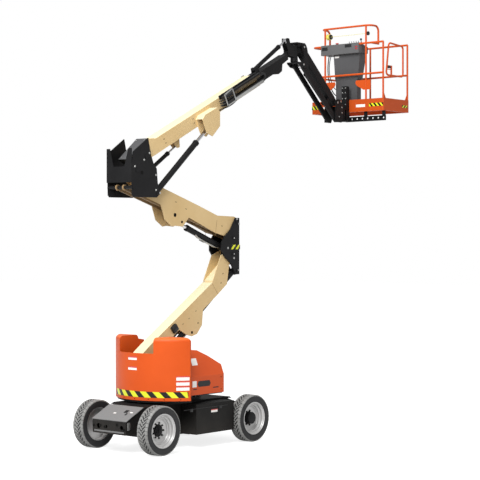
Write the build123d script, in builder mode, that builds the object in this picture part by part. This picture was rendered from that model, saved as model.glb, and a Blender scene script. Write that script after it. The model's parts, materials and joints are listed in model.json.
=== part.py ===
from build123d import *
import os
from math import atan2, cos, degrees, hypot, radians, sin, sqrt

# A narrow electric articulating boom lift with its tower half raised.
# Millimetres, +Z up, +X towards the platform. The origin is on the ground, below
# the middle of the whole machine. Every (x, z) point below is measured from the
# slewing axis, which stands at slew_x.

os.makedirs("parts", exist_ok=True)

# --- wheels and chassis ---
tyre_dia = 711
tyre_width = 200
overall_width = 1500
wheelbase = 2000
rim_dia = 490
rim_wall = 9
rim_disc_inset = 118
hub_radius = 90
frame_half = 335
frame_low = 200
frame_wall = 20
frame_floor = 110
deck_z = 655
steer_nose = 350
steer_frame_low = 290
steer_nose_top = 482
cover_plate = 8
kingpin_inset = 150
kingpin_radius = 18
box_rear = -207
box_front = 630
box_low = 215
box_outer = 650
box_wall = 6
ring_radius = 400
ring_height = 45

# --- turntable ---
slew_gap = 6
floor_plate = 30
floor_radius = 835
tail_radius = 860
tail_front = -400
tail_top = 1650
tail_edge = 60
tail_fin = 124
tail_fin_drop = 80
hood_wall = 12
notch_half = 340
notch_sill = 1420
side_hood_front = 463
side_hood_outer = 600
side_hood_top = 1430
side_hood_inner = 215
skirt = 54
tray_plate = 12
tower_plate = 28

# --- booms ---
boom_half = 100
boom_wall = 10
arm_length = 2475
mid_length = 2440
lower_angle = 37.7
mid_angle = 17.3
main_angle = 26.5
main_half = 107
main_top = 88
main_low = -112
main_wall = 8
main_mouth = 3000
fly_gap = 12
fly_wall = 8
fly_tip = 4011
upright_inner = 112
upright_plate = 22
head_inner = 236
head_plate = 14
link_inner = 60
link_outer = 78
link_depth = 70
pin_fit = 0.1
side_gap = 6
ear_gap = 52

# --- jib and platform ---
jib_length = 1250
jib_ram_seat = 1115
jib_angle = -43
jib_half = 60
jib_depth = 130
jib_wall = 8
ear_in = 40
ear_out = 53
strap_inner = 68
strap_outer = 96
strap_depth = 92
platform_depth = 760
platform_width = 1520
floor_rise = 222
deck_depth = 70
toe_height = 140
mid_rail_height = 570
rail_height = 1090
bow_rise = 300
tube_radius = 17
rail_inset = 3
gate_setback = 135
console_pad = 3
console_step = 500
console_height = 940
console_box = 170
console_wall = 8
console_setback = 85
turn_setback = 160
beam_setback = 70

# --- pins in the boom plane, as (x, z) from the slewing axis ---
def ahead(start, length, angle):
    return (start[0] + length * cos(radians(angle)), start[1] + length * sin(radians(angle)))


def shift(start, dx, dz):
    return (start[0] + dx, start[1] + dz)


def on_boom(pivot, angle, x, y):
    # A point given along and above a boom, turned into (x, z).
    along = ahead(pivot, x, angle)
    return ahead(along, y, angle + 90)


lower_pin = (-740, 1330)
lower_link_pin = shift(lower_pin, 100, -262)
lower_ram_base = shift(lower_pin, 140, -470)
arm_top_pin = ahead(lower_pin, arm_length, lower_angle)
lower_link_top = shift(arm_top_pin, 100, -262)
mid_pin = shift(arm_top_pin, 90, 492)
mid_link_pin = shift(mid_pin, -81, -242)
mid_ram_base = shift(mid_pin, -214, -396)
head_pin = ahead(mid_pin, mid_length, 180 - mid_angle)
head_link_pin = shift(head_pin, -81, -242)
main_pin = shift(head_pin, 192, 209)
main_ram_base = shift(main_pin, 225, -540)
master_base = shift(main_pin, 285, -205)
lower_ram_eye = on_boom(lower_pin, lower_angle, 1022, -369)
mid_ram_eye = on_boom(mid_pin, 180 - mid_angle, 1152, 382)
main_ram_eye = on_boom(main_pin, main_angle, 1488, -185)
master_eye = on_boom(main_pin, main_angle, 885, -216)
slave_base = on_boom(main_pin, main_angle, 3105, 122)
level_pin = on_boom(main_pin, main_angle, fly_tip, 45)
slave_eye = shift(level_pin, -60, 200)
swing_x = level_pin[0] + 165
jib_pin = shift(level_pin, 286, 118)
strap_pin = shift(jib_pin, -16, -288)
jib_ram_eye = shift(jib_pin, 60, -305)
jib_end = ahead(jib_pin, jib_length, jib_angle)
strap_end = shift(jib_end, -16, -288)
jib_ram_base = on_boom(jib_pin, jib_angle, jib_ram_seat, -150)
turn_x = jib_end[0] + 265
platform_x = turn_x + turn_setback
platform_front = platform_x + platform_depth
floor_z = strap_end[1] + floor_rise
platform_low = floor_z - deck_depth
toe_top = floor_z + toe_height
mid_rail_z = floor_z + mid_rail_height
top_rail_z = floor_z + rail_height
bow_z = top_rail_z + bow_rise
console_z = floor_z + console_height

wheel_r = tyre_dia / 2
axle_x = wheelbase / 2
wheel_y = overall_width / 2 - tyre_width / 2
kingpin_y = wheel_y - kingpin_inset
slew_x = -(platform_front - axle_x - wheel_r) / 2
ring_top = deck_z + ring_height
floor_low = ring_top + slew_gap
floor_top = floor_low + floor_plate


# --- drawing planes ---
def side_at(point=(0, 0), angle=0):
    # Side view at a point, with x along the angle and y to its left.
    turn = radians(angle)
    return Plane(
        origin=(slew_x + point[0], 0, point[1]),
        x_dir=(cos(turn), 0, sin(turn)),
        z_dir=(0, -1, 0),
    )


def level(z):
    return Plane(origin=(slew_x, 0, z))


def across(x):
    # Seen along +X, with x across the machine and y up.
    return Plane(origin=(slew_x + x, 0, 0), x_dir=(0, 1, 0), z_dir=(1, 0, 0))


side = side_at()


def slab(outline, low, high, frame=side, corner=0, mode=Mode.ADD):
    # A flat shape in a side view, from y = low to y = high.
    with BuildSketch(frame.offset(-high)) as face:
        Polygon(*outline, align=None)
        if corner:
            fillet(face.vertices(), corner)
    extrude(face.sketch, amount=high - low, mode=mode)


def twin(outline, inner, outer, frame=side, corner=0, mode=Mode.ADD):
    # The same shape on both sides of the middle plane.
    slab(outline, inner, outer, frame, corner, mode)
    slab(outline, -outer, -inner, frame, corner, mode)


def disc(point, radius, low, high, frame=side, mode=Mode.ADD):
    with BuildSketch(frame.offset(-high)) as face:
        with Locations(point):
            Circle(radius)
    extrude(face.sketch, amount=high - low, mode=mode)


def twin_disc(point, radius, inner, outer, frame=side, mode=Mode.ADD):
    disc(point, radius, inner, outer, frame, mode)
    disc(point, radius, -outer, -inner, frame, mode)


def slot(start, end, radius, low, high, frame=side, mode=Mode.ADD):
    # A bar with round ends between two points of a side view.
    run = (end[0] - start[0], end[1] - start[1])
    middle = ((start[0] + end[0]) / 2, (start[1] + end[1]) / 2)
    with BuildSketch(frame.offset(-high)) as face:
        with Locations(Location(middle, degrees(atan2(run[1], run[0])))):
            SlotCenterToCenter(hypot(*run), 2 * radius)
    extrude(face.sketch, amount=high - low, mode=mode)


def plan(outline, low, high, corner=0, mode=Mode.ADD):
    # A flat shape seen from above, from z = low to z = high.
    with BuildSketch(level(low)) as face:
        Polygon(*outline, align=None)
        if corner:
            fillet(face.vertices(), corner)
    extrude(face.sketch, amount=high - low, mode=mode)


def post(point, radius, low, high, mode=Mode.ADD):
    with BuildSketch(level(low)) as face:
        with Locations(point):
            Circle(radius)
    extrude(face.sketch, amount=high - low, mode=mode)


def rect(x1, z1, x2, z2):
    return [(x1, z1), (x2, z1), (x2, z2), (x1, z2)]


def save(piece, name):
    piece.part.label = name
    export_step(piece.part, "parts/" + name + ".step")


# --- wheels: a solid tyre on a deep dish, one of each at every corner ---
def wheel(name, x, sign, driven):
    axis = Plane(origin=(slew_x + x, sign * wheel_y, wheel_r), x_dir=(1, 0, 0), z_dir=(0, sign, 0))
    half = tyre_width / 2
    seat = rim_dia / 2
    with BuildPart() as tyre:
        with BuildSketch(Plane(origin=axis.origin, x_dir=axis.z_dir, z_dir=(1, 0, 0))) as section:
            with BuildLine():
                Polyline(
                    (-half + 14, seat - 12),
                    (half - 14, seat - 12),
                    (half, seat + 8),
                    (half, wheel_r - 34),
                    (half - 22, wheel_r),
                    (-half + 22, wheel_r),
                    (-half, wheel_r - 34),
                    (-half, seat + 8),
                    (-half + 14, seat - 12),
                )
            make_face()
        revolve(axis=Axis(axis.origin, axis.z_dir))
    save(tyre, name + "_tyre")
    # The barrel of the rim, its disc set in from the outer face, and the hub.
    well = seat - 12
    disc_out = half - rim_disc_inset
    with BuildPart() as rim:
        with BuildSketch(Plane(origin=axis.origin, x_dir=axis.z_dir, z_dir=(1, 0, 0))) as section:
            with BuildLine():
                Polyline(
                    (-half + 14, well - rim_wall),
                    (disc_out - 12, well - rim_wall),
                    (disc_out - 12, hub_radius * 0.55),
                    (disc_out, hub_radius * 0.55),
                    (disc_out, well - rim_wall),
                    (half - 14, well - rim_wall),
                    (half - 2, seat - 7),
                    (half - 6, seat - 3),
                    (half - 14, well),
                    (-half + 14, well),
                    (-half + 14, well - rim_wall),
                )
            make_face()
        revolve(axis=Axis(axis.origin, axis.z_dir))
        hub_out = disc_out + (75 if driven else 52)
        with BuildSketch(axis.offset(disc_out - 40)):
            Circle(hub_radius if driven else hub_radius - 15)
        extrude(amount=hub_out - disc_out + 40)
        with BuildSketch(axis.offset(disc_out)):
            with PolarLocations(hub_radius + 18, 9):
                Circle(9)
        extrude(amount=26)
    save(rim, name + "_rim")


corners = [
    # name, x, side, driven
    ("steer_near", -axle_x, -1, False),
    ("steer_far", -axle_x, 1, False),
    ("drive_near", axle_x, -1, True),
    ("drive_far", axle_x, 1, True),
]
for name, x, sign, driven in corners:
    wheel(name, x, sign, driven)

# --- chassis ---
nose_x = -axle_x - steer_nose
steer_frame = [
    (nose_x, steer_frame_low),
    (nose_x, steer_nose_top),
    (-axle_x, deck_z),
    (-640, deck_z),
    (-640, steer_frame_low),
]
drive_end = axle_x + 230
with BuildPart() as chassis_frame:
    slab(rect(-640, frame_low, 640, deck_z), -frame_half, frame_half)
    slab(steer_frame, -frame_half, frame_half)
    slab([(640, 250), (640, deck_z), (820, deck_z), (drive_end, 520), (drive_end, 290)], -frame_half, frame_half)
    core = frame_half - frame_wall
    slab(rect(-600, frame_low + frame_floor, 600, deck_z - frame_wall), -core, core, mode=Mode.SUBTRACT)
    slab(
        [
            (nose_x + frame_wall, steer_frame_low + frame_wall),
            (nose_x + frame_wall, steer_nose_top - 20),
            (-axle_x, deck_z - frame_wall),
            (-660, deck_z - frame_wall),
            (-660, steer_frame_low + frame_wall),
        ],
        -core,
        core,
        mode=Mode.SUBTRACT,
    )
    slab(
        [
            (660, 250 + frame_wall),
            (660, deck_z - frame_wall),
            (810, deck_z - frame_wall),
            (drive_end - frame_wall, 500),
            (drive_end - frame_wall, 300 + frame_wall),
        ],
        -core,
        core,
        mode=Mode.SUBTRACT,
    )
    slab([(-920, deck_z), (-860, deck_z + 25), (820, deck_z + 25), (880, deck_z)], -400, 400)
    post((0, 0), ring_radius, deck_z, ring_top)
    for hole_y, hole_r in ((-250, 34), (60, 26), (215, 40)):
        with BuildSketch(across(nose_x)):
            with Locations((hole_y, 390)):
                Circle(hole_r)
        extrude(amount=frame_wall, mode=Mode.SUBTRACT)
save(chassis_frame, "chassis_frame")

with BuildPart() as steer_cover:
    cover_face = [
        (nose_x, steer_nose_top),
        (-axle_x, deck_z),
        (-axle_x, deck_z + cover_plate),
        (nose_x, steer_nose_top + cover_plate),
    ]
    slab(cover_face, -frame_half - 12, frame_half + 12)
save(steer_cover, "steer_cover")

with BuildPart() as battery_boxes:
    for inner, outer in ((frame_half, box_outer), (-box_outer, -frame_half)):
        slab(rect(box_rear, box_low, box_front, deck_z), inner, outer)
        slab(
            rect(box_rear + box_wall, box_low + box_wall, box_front - box_wall, deck_z - box_wall),
            inner + box_wall,
            outer - box_wall,
            mode=Mode.SUBTRACT,
        )
save(battery_boxes, "battery_boxes")

with BuildPart() as batteries:
    cell = rect(box_rear + 40, box_low + box_wall, box_front - 40, deck_z - 120)
    twin(cell, frame_half + 30, box_outer - 30)
save(batteries, "batteries")

arm_y = kingpin_y - 22
arm_x = -axle_x + 130
tie_z = 250
with BuildPart() as steer_axle:
    slab(rect(-axle_x - 45, 235, -axle_x + 45, steer_frame_low), -kingpin_y + 60, kingpin_y - 60)
    for sign in (-1, 1):
        inner, outer = sorted((sign * (kingpin_y - 90), sign * (kingpin_y - 60)))
        slab(rect(-axle_x - 32, steer_frame_low, -axle_x + 32, 470), inner, outer)
        inner, outer = sorted((sign * (kingpin_y - 62), sign * (kingpin_y + 30)))
        slab(rect(-axle_x - 32, 235, -axle_x + 32, 260), inner, outer)
        slab(rect(-axle_x - 32, 450, -axle_x + 32, 470), inner, outer)
        post((-axle_x, sign * kingpin_y), kingpin_radius, 260, 450)
    with BuildSketch(across(-axle_x - 30)):
        with Locations((0, 262)):
            Rectangle(2 * frame_half, 50)
    extrude(amount=60)
save(steer_axle, "steer_axle")

for name, sign in (("near", -1), ("far", 1)):
    with BuildPart() as knuckle:
        post((-axle_x, sign * kingpin_y), kingpin_radius + 14, 266, 444)
        with BuildSketch(Plane(origin=(slew_x - axle_x, sign * kingpin_y, wheel_r), z_dir=(0, sign, 0))):
            Circle(34)
        extrude(amount=wheel_y - kingpin_y - 62)
        plan(
            [
                (-axle_x, sign * (kingpin_y - 16)),
                (arm_x, sign * (arm_y - 16)),
                (arm_x, sign * (arm_y + 16)),
                (-axle_x, sign * (kingpin_y + 16)),
            ],
            266,
            284,
        )
        post((arm_x, sign * arm_y), 18, 266, 284)
        post((-axle_x, sign * kingpin_y), kingpin_radius + pin_fit, 250, 460, mode=Mode.SUBTRACT)
    save(knuckle, "steer_knuckle_" + name)

with BuildPart() as tie_rod:
    with BuildSketch(Plane(origin=(slew_x + arm_x, 0, tie_z - 14), x_dir=(1, 0, 0), z_dir=(0, 1, 0))):
        Circle(12)
    extrude(amount=arm_y, both=True)
    for sign in (-1, 1):
        post((arm_x, sign * arm_y), 17, tie_z - 28, tie_z + 6)
save(tie_rod, "tie_rod")

with BuildPart() as drive_axle:
    for sign in (-1, 1):
        with BuildSketch(Plane(origin=(slew_x + axle_x, sign * frame_half, wheel_r), z_dir=(0, sign, 0))):
            Circle(80)
        extrude(amount=wheel_y - 70 - frame_half)
save(drive_axle, "drive_axle")

# --- turntable ---
tower_outline = [
    (-835, floor_top),
    (-835, 1290),
    (-800, 1392),
    (-700, 1400),
    (-560, 1150),
    (-300, 960),
    (-250, floor_top),
]
with BuildPart() as turntable_frame:
    with BuildSketch(level(floor_low)) as floor_face:
        Circle(floor_radius)
        with Locations((700 + tail_front, 0)):
            Rectangle(1400, 2000, mode=Mode.SUBTRACT)
    extrude(amount=floor_plate)
    plan(rect(tail_front, -ring_radius, 0, ring_radius), floor_low, floor_top)
    for inner, outer in ((side_hood_inner + 5, side_hood_outer - 12), (12 - side_hood_outer, -side_hood_inner - 5)):
        tray_top = floor_top + skirt
        plan(rect(tail_front + 15, inner, side_hood_front - 20, outer), tray_top - tray_plate, tray_top)
    for inner, outer in ((side_hood_inner + 5, side_hood_inner + 30), (-side_hood_inner - 30, -side_hood_inner - 5)):
        plan(rect(tail_front + 25, inner, 300, outer), floor_low, floor_top + skirt - tray_plate)
    post((0, 0), ring_radius + 15, floor_low, floor_top)
    twin(tower_outline, boom_half + side_gap + 6, boom_half + side_gap + 6 + tower_plate)
    for pin, radius in ((lower_pin, 35), (lower_link_pin, 26), (lower_ram_base, 24)):
        disc(pin, radius, -boom_half - side_gap - tower_plate - 20, boom_half + side_gap + tower_plate + 20)
save(turntable_frame, "turntable_frame")

notch_shape = [
    (-tail_radius - 50, notch_sill),
    (-tail_radius + 200, notch_sill),
    (-tail_radius + 200, tail_top + 50),
    (-tail_radius - 50, tail_top + 50),
]
with BuildPart() as tail_hood:
    with BuildSketch(level(floor_top)) as hood_plan:
        Circle(tail_radius)
        with Locations((tail_front + 1000, 0)):
            Rectangle(2000, 2000, mode=Mode.SUBTRACT)
        fillet(hood_plan.vertices(), 30)
    extrude(amount=tail_top - floor_top)
    rim_edges = tail_hood.faces().sort_by(Axis.Z)[-1].edges()
    fillet(rim_edges, tail_edge)
    with BuildSketch(level(floor_top)) as core:
        Circle(tail_radius - hood_wall)
        with Locations((tail_front - hood_wall + 1000, 0)):
            Rectangle(2000, 2000, mode=Mode.SUBTRACT)
        Rectangle(2000, 2 * (notch_half + hood_wall), mode=Mode.SUBTRACT)
    extrude(amount=tail_top - 70 - floor_top, mode=Mode.SUBTRACT)
    with BuildSketch(level(floor_top)) as channel:
        Circle(tail_radius - hood_wall)
        with Locations((0, 500 + notch_half), (0, -500 - notch_half)):
            Rectangle(3000, 1000, mode=Mode.SUBTRACT)
    extrude(amount=tail_top, mode=Mode.SUBTRACT)
    slab(notch_shape, -notch_half, notch_half, mode=Mode.SUBTRACT)
    # The channel's cheeks run on above the side hoods.
    fin_end = tail_front + tail_fin
    fin = [
        (tail_front - 20, side_hood_top + 6),
        (fin_end, side_hood_top + 6),
        (fin_end, tail_top - tail_fin_drop),
        (tail_front - 20, tail_top - 56),
    ]
    twin(fin, notch_half, notch_half + hood_wall)
save(tail_hood, "tail_hood")

with BuildPart() as counterweight:
    with BuildSketch(level(floor_top)) as block:
        Circle(tail_radius - hood_wall - 12)
        with Locations((tail_front - 30 + 1000, 0)):
            Rectangle(2000, 2000, mode=Mode.SUBTRACT)
        Rectangle(3000, 2 * (notch_half + hood_wall + 8), mode=Mode.SUBTRACT)
    extrude(amount=620)
save(counterweight, "counterweight")

hood_low = floor_top + skirt
hood_side = [
    (tail_front + 5, hood_low),
    (tail_front + 5, side_hood_top),
    (20, side_hood_top),
    (225, 1338),
    (side_hood_front, 1200),
    (side_hood_front, hood_low),
]
hood_core = [
    (tail_front + 5 + hood_wall, hood_low),
    (tail_front + 5 + hood_wall, side_hood_top - hood_wall),
    (14, side_hood_top - hood_wall),
    (219, 1325),
    (side_hood_front - hood_wall, 1190),
    (side_hood_front - hood_wall, hood_low),
]
with BuildPart() as side_hoods:
    for sign in (-1, 1):
        for outline, wall, mode in ((hood_side, 0, Mode.ADD), (hood_core, hood_wall, Mode.SUBTRACT)):
            inner = side_hood_inner + wall
            outer = side_hood_outer - wall
            # Upright to the crease, then sloping in to the ridge.
            with BuildSketch(across(tail_front - 20)) as section:
                Polygon(
                    (sign * inner, hood_low),
                    (sign * outer, hood_low),
                    (sign * outer, 1060 - wall),
                    (sign * (outer - 165), 1475),
                    (sign * inner, 1475),
                    align=None,
                )
            with BuildSketch(side.offset(-side_hood_outer)) as profile:
                Polygon(*outline, align=None)
            if mode == Mode.ADD:
                shell = extrude(section.sketch, amount=1200, mode=Mode.PRIVATE)
                add(shell.intersect(extrude(profile.sketch, amount=2 * side_hood_outer, mode=Mode.PRIVATE)))
            else:
                core = extrude(section.sketch, amount=1200, mode=Mode.PRIVATE)
                cut = core.intersect(extrude(profile.sketch, amount=2 * side_hood_outer, mode=Mode.PRIVATE))
                add(cut, mode=Mode.SUBTRACT)
save(side_hoods, "side_hoods")


# --- hydraulic rams: a barrel on its base pin and a rod with an open eye ---
def ram(name, base, eye, y, barrel_r, rod_r, closed, width, pin_r):
    # closed is the distance between the pins when the ram is fully in.
    length = hypot(eye[0] - base[0], eye[1] - base[1])
    angle = degrees(atan2(eye[1] - base[1], eye[0] - base[0]))
    frame = side_at(base, angle)
    turn = radians(angle)
    bore_end = 0.16 * closed

    def station(x):
        return Plane(
            origin=(slew_x + base[0] + x * cos(turn), y, base[1] + x * sin(turn)),
            x_dir=(0, 1, 0),
            z_dir=(cos(turn), 0, sin(turn)),
        )

    eye_r = 0.95 * barrel_r
    gland_x = closed - eye_r - 26
    with BuildPart() as barrel:
        disc((0, 0), eye_r, y - width / 2, y + width / 2, frame)
        with BuildSketch(station(0)):
            Circle(barrel_r)
        extrude(amount=gland_x)
        with BuildSketch(station(gland_x - 36)):
            Circle(barrel_r + 5)
        extrude(amount=36)
        with BuildSketch(station(bore_end - 25)):
            Circle(rod_r + pin_fit)
        extrude(amount=gland_x - bore_end + 60, mode=Mode.SUBTRACT)
        disc((0, 0), pin_r + pin_fit, y - width, y + width, frame, mode=Mode.SUBTRACT)
    save(barrel, name + "_barrel")
    with BuildPart() as rod:
        disc((length, 0), eye_r, y - width / 2, y + width / 2, frame)
        with BuildSketch(station(length - closed + bore_end)):
            Circle(rod_r)
        extrude(amount=closed - bore_end)
    save(rod, name + "_rod")


# --- tower: lower boom, its link, the middle upright, mid boom and its link ---
lower_frame = side_at(lower_pin, lower_angle)
lower_outline = [
    (-60, -64),
    (-84, 20),
    (-40, 78),
    (250, 66),
    (1850, -73),
    (2262, 132),
    (arm_length + 30, 66),
    (arm_length + 66, -20),
    (arm_length - 20, -72),
    (2328, -100),
    (2103, -306),
    (1850, -297),
    (1430, -267),
    (1273, -433),
    (1103, -467),
    (990, -418),
    (905, -300),
    (840, -160),
    (250, -142),
]
lower_core = [
    (150, -700),
    (150, 56),
    (250, 54),
    (1850, -85),
    (2340, -80),
    (2340, 200),
    (arm_length + 100, 200),
    (arm_length + 100, -700),
]
# Above the top plate the far end is a fork, where the mid ram lies when folded.
lower_fork = [(1880, -70), (2350, -68), (2350, 200), (1880, 200)]
with BuildPart() as lower_boom:
    slab(lower_outline, -boom_half, boom_half, lower_frame)
    for cut in (lower_core, lower_fork):
        slab(cut, boom_wall - boom_half, boom_half - boom_wall, lower_frame, mode=Mode.SUBTRACT)
    disc((0, 0), 35 + pin_fit, -boom_half, boom_half, lower_frame, mode=Mode.SUBTRACT)
    twin_disc((arm_length, 0), 30 + pin_fit, 0, boom_half, lower_frame, mode=Mode.SUBTRACT)
save(lower_boom, "lower_boom")


def link_bars(name, start, end, radius, end_radius, inner, outer):
    # Two flat bars side by side, far enough apart for a ram between them.
    with BuildPart() as bars:
        for low, high in ((inner, outer), (-outer, -inner)):
            slot(start, end, link_depth / 2, low, high)
            disc(start, radius + 18, low, high)
            disc(end, end_radius, low, high)
            for point in (start, end):
                disc(point, radius + pin_fit, low, high, mode=Mode.SUBTRACT)
    save(bars, name)


link_pin_r = 26
link_bars("lower_link", lower_link_pin, lower_link_top, link_pin_r, 70, link_inner, link_outer)
ram("lower_ram", lower_ram_base, lower_ram_eye, 0, 50, 28, 845, 90, 24)

upright_right = arm_top_pin[0] + 148
upright_z = arm_top_pin[1]
upright_mid_z = (arm_top_pin[1] + mid_pin[1] - 246 + 0) / 2 - 4
upright_half_height = 440
upright_outline = [
    (upright_right, upright_z - 323.5),
    (upright_right - 86, upright_z - 323.5),
    (upright_right - 206, upright_z - 143.5),
    (upright_right - 336, upright_z - 53.5),
    (upright_right - 416, upright_z + 46.5),
    (upright_right - 416, upright_z + 176.5),
    (upright_right - 336, upright_z + 276.5),
    (upright_right - 206, upright_z + 371.5),
    (upright_right - 86, upright_z + 556.5),
    (upright_right, upright_z + 556.5),
]
upright_out = upright_inner + upright_plate
with BuildPart() as mid_upright:
    twin(upright_outline, upright_inner, upright_out, corner=12)
    slab(rect(upright_right - 16, upright_z - 173.5, upright_right, upright_z + 411.5), -upright_inner, upright_inner)
    for pin, radius in (
        (arm_top_pin, 30),
        (mid_pin, 30),
        (lower_link_top, link_pin_r),
        (mid_link_pin, link_pin_r),
    ):
        disc(pin, radius, -upright_out - 8, upright_out + 8)
    ram_ear = [
        shift(mid_ram_base, -30, -30),
        (upright_right - 16, upright_z + 51.5),
        (upright_right - 16, upright_z + 141.5),
        shift(mid_ram_base, -30, 30),
    ]
    twin(ram_ear, ear_gap, ear_gap + 12)
    disc(mid_ram_base, 22, -ear_gap - 18, ear_gap + 18)
save(mid_upright, "mid_upright")

mid_frame = side_at(mid_pin, 180 - mid_angle)
# y is measured down from the pin line here, because the boom points back.
mid_outline = [
    (-66, -10),
    (-36, -66),
    (60, -70),
    (430, 74 - 40),
    (860, 22),
    (2250, 12),
    (2398, -40),
    (2436, -57),
    (2478, -44),
    (2497, -10),
    (2492, 28),
    (2462, 54),
    (2380, 80),
    (2230, 130),
    (2060, 262),
    (1680, 268),
    (1606, 356),
    (1529, 455),
    (1356, 503),
    (1290, 470),
    (1128, 432),
    (1083, 344),
    (1041, 262),
    (402, 303),
    (168, 281),
    (60, 150),
    (-40, 50),
]
mid_core = [
    (-80, 700),
    (-80, -56),
    (60, -56),
    (436, 46),
    (862, 34),
    (2280, 24),
    (2280, 700),
]
with BuildPart() as mid_boom:
    slab(mid_outline, -boom_half, boom_half, mid_frame)
    slab(mid_core, boom_wall - boom_half, boom_half - boom_wall, mid_frame, mode=Mode.SUBTRACT)
    disc((0, 0), 30 + pin_fit, -boom_half, boom_half, mid_frame, mode=Mode.SUBTRACT)
    disc((mid_length, 0), 32 + pin_fit, -boom_half, boom_half, mid_frame, mode=Mode.SUBTRACT)
save(mid_boom, "mid_boom")
link_bars("mid_link", mid_link_pin, head_link_pin, link_pin_r, 44, link_inner, link_outer)
ram("mid_ram", mid_ram_base, mid_ram_eye, 0, 45, 25, 935, 90, 22)

# --- upper upright: wide side plates, a rear panel with a notch ---
head_out = head_inner + head_plate
head_outline = [
    shift(head_pin, 221.3, 478.9),
    shift(head_pin, -88.7, 268.9),
    shift(head_pin, -118.7, 58.9),
    shift(head_pin, -108.7, -351.1),
    shift(head_pin, -78.7, -381.1),
    shift(head_pin, 401.3, -381.1),
    shift(head_pin, 461.3, -331.1),
    shift(head_pin, 421.3, -161.1),
    shift(head_pin, 401.3, 38.9),
    shift(head_pin, 331.3, 118.9),
    shift(head_pin, 281.3, 238.9),
]
head_back = head_pin[0] - 128.7
head_z = head_pin[1]
with BuildPart() as upper_upright:
    twin(head_outline, head_inner, head_out)
    with BuildSketch(across(head_back)) as panel:
        Polygon(
            (-head_out, head_z - 171),
            (head_out, head_z - 171),
            (head_out, head_z + 319),
            (190, head_z + 319),
            (110, head_z + 59),
            (-110, head_z + 59),
            (-190, head_z + 319),
            (-head_out, head_z + 319),
            align=None,
        )
    extrude(panel.sketch, amount=14)
    for pin, radius, boss in ((head_pin, 32, 52), (main_pin, 35, 56), (head_link_pin, link_pin_r, 0)):
        disc(pin, radius, -head_out - 8, head_out + 8)
        if boss:
            twin_disc(pin, boss, main_half + side_gap, head_inner)
    disc(main_ram_base, 24, -head_out - 8, -main_half - side_gap - 10)
    slot(shift(master_base, -110, 0), shift(master_base, -100, 0), 28, -head_inner, head_inner)
    twin([
        shift(master_base, -110, -28),
        shift(master_base, 20, -26),
        shift(master_base, 20, 26),
        shift(master_base, -110, 28),
    ], 38, 52)
    disc(master_base, 16, -52, 52)
save(upper_upright, "upper_upright")

# --- main boom, fly boom and their rams ---
main_frame = side_at(main_pin, main_angle)
main_outline = [
    (-212, 58),
    (262, 174),
    (430, 102),
    (main_mouth - 70, main_top),
    (main_mouth, main_low),
    (260, main_low),
    (-60, -80),
    (-146, -36),
]
fly_half = main_half - main_wall - fly_gap
with BuildPart() as main_boom:
    slab(main_outline, -main_half, main_half, main_frame)
    slab(
        rect(100, main_low + main_wall, main_mouth + 100, main_top - main_wall),
        main_wall - main_half,
        main_half - main_wall,
        main_frame,
        mode=Mode.SUBTRACT,
    )
    disc((0, 0), 35 + pin_fit, -main_half, main_half, main_frame, mode=Mode.SUBTRACT)
    # Box for the lift ram on the near side, open below.
    ram_box = [
        (1350, 0),
        (1350, -222),
        (1443, -318),
        (1671, -247),
        (1766, -56),
        (1740, 30),
        (1432, 40),
    ]
    slab(ram_box, -252, -240, main_frame)
    slab(ram_box, -main_half - 22, -main_half, main_frame)
    slab([(1360, 0), (1432, 40), (1740, 30), (1766, -56), (1750, -56), (1726, 16), (1436, 26), (1370, -8)], -240, -main_half, main_frame)
    # Bracket below for the short level ram.
    twin([(790, main_low + 2), (960, main_low + 2), (905, -250), (850, -240)], 36, 48, main_frame)
save(main_boom, "main_boom")

fly_top = main_top - main_wall - fly_gap
fly_low = main_low + main_wall + fly_gap
fly_outline = [
    (1250, fly_low),
    (1250, fly_top),
    (3930, fly_top),
    (fly_tip - 20, fly_top + 15),
    (fly_tip + 44, 66),
    (fly_tip + 44, 20),
    (fly_tip, -6),
    (3700, -34),
    (3640, -128),
    (3540, -140),
    (3410, fly_low),
]
with BuildPart() as fly_boom:
    slab(fly_outline, -fly_half, fly_half, main_frame)
    slab(
        rect(1200, fly_low + fly_wall, 3600, fly_top - fly_wall),
        fly_wall - fly_half,
        fly_half - fly_wall,
        main_frame,
        mode=Mode.SUBTRACT,
    )
    twin(rect(3880, -200, fly_tip + 200, 300), ear_in - 5, fly_half + 1, main_frame, mode=Mode.SUBTRACT)
    disc((fly_tip, 45), 24 + pin_fit, -fly_half, fly_half, main_frame, mode=Mode.SUBTRACT)
    twin([(3060, fly_top), (3150, fly_top), (3130, 150), (3080, 150)], 40, 52, main_frame)
    disc((3105, 122), 15, -52, 52, main_frame)
save(fly_boom, "fly_boom")

with BuildPart() as hose_carrier:
    slab(rect(1990, -52, 2960, -44), -245, -main_half, main_frame)
    slab(rect(1990, -44, 2960, 10), -245, -240, main_frame)
    slab(rect(1990, 70, 2960, 120), -125, -main_half, main_frame)
    slab(rect(2000, -40, 2990, 0), -235, -140, main_frame)
    slab(rect(2000, 60, 2990, 100), -235, -140, main_frame)
    with BuildSketch(main_frame.offset(140)) as loop:
        with Locations((2990, 30)):
            Circle(70)
            Circle(30, mode=Mode.SUBTRACT)
        with Locations((2940, 30)):
            Rectangle(100, 200, mode=Mode.SUBTRACT)
    extrude(loop.sketch, amount=95)
save(hose_carrier, "hose_carrier")

ram("main_ram", main_ram_base, main_ram_eye, -185, 44, 26, 1280, 86, 24)
ram("master_ram", master_base, master_eye, 0, 30, 15, 570, 60, 16)
ram("slave_ram", slave_base, slave_eye, 0, 33, 17, 800, 66, 15)

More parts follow.
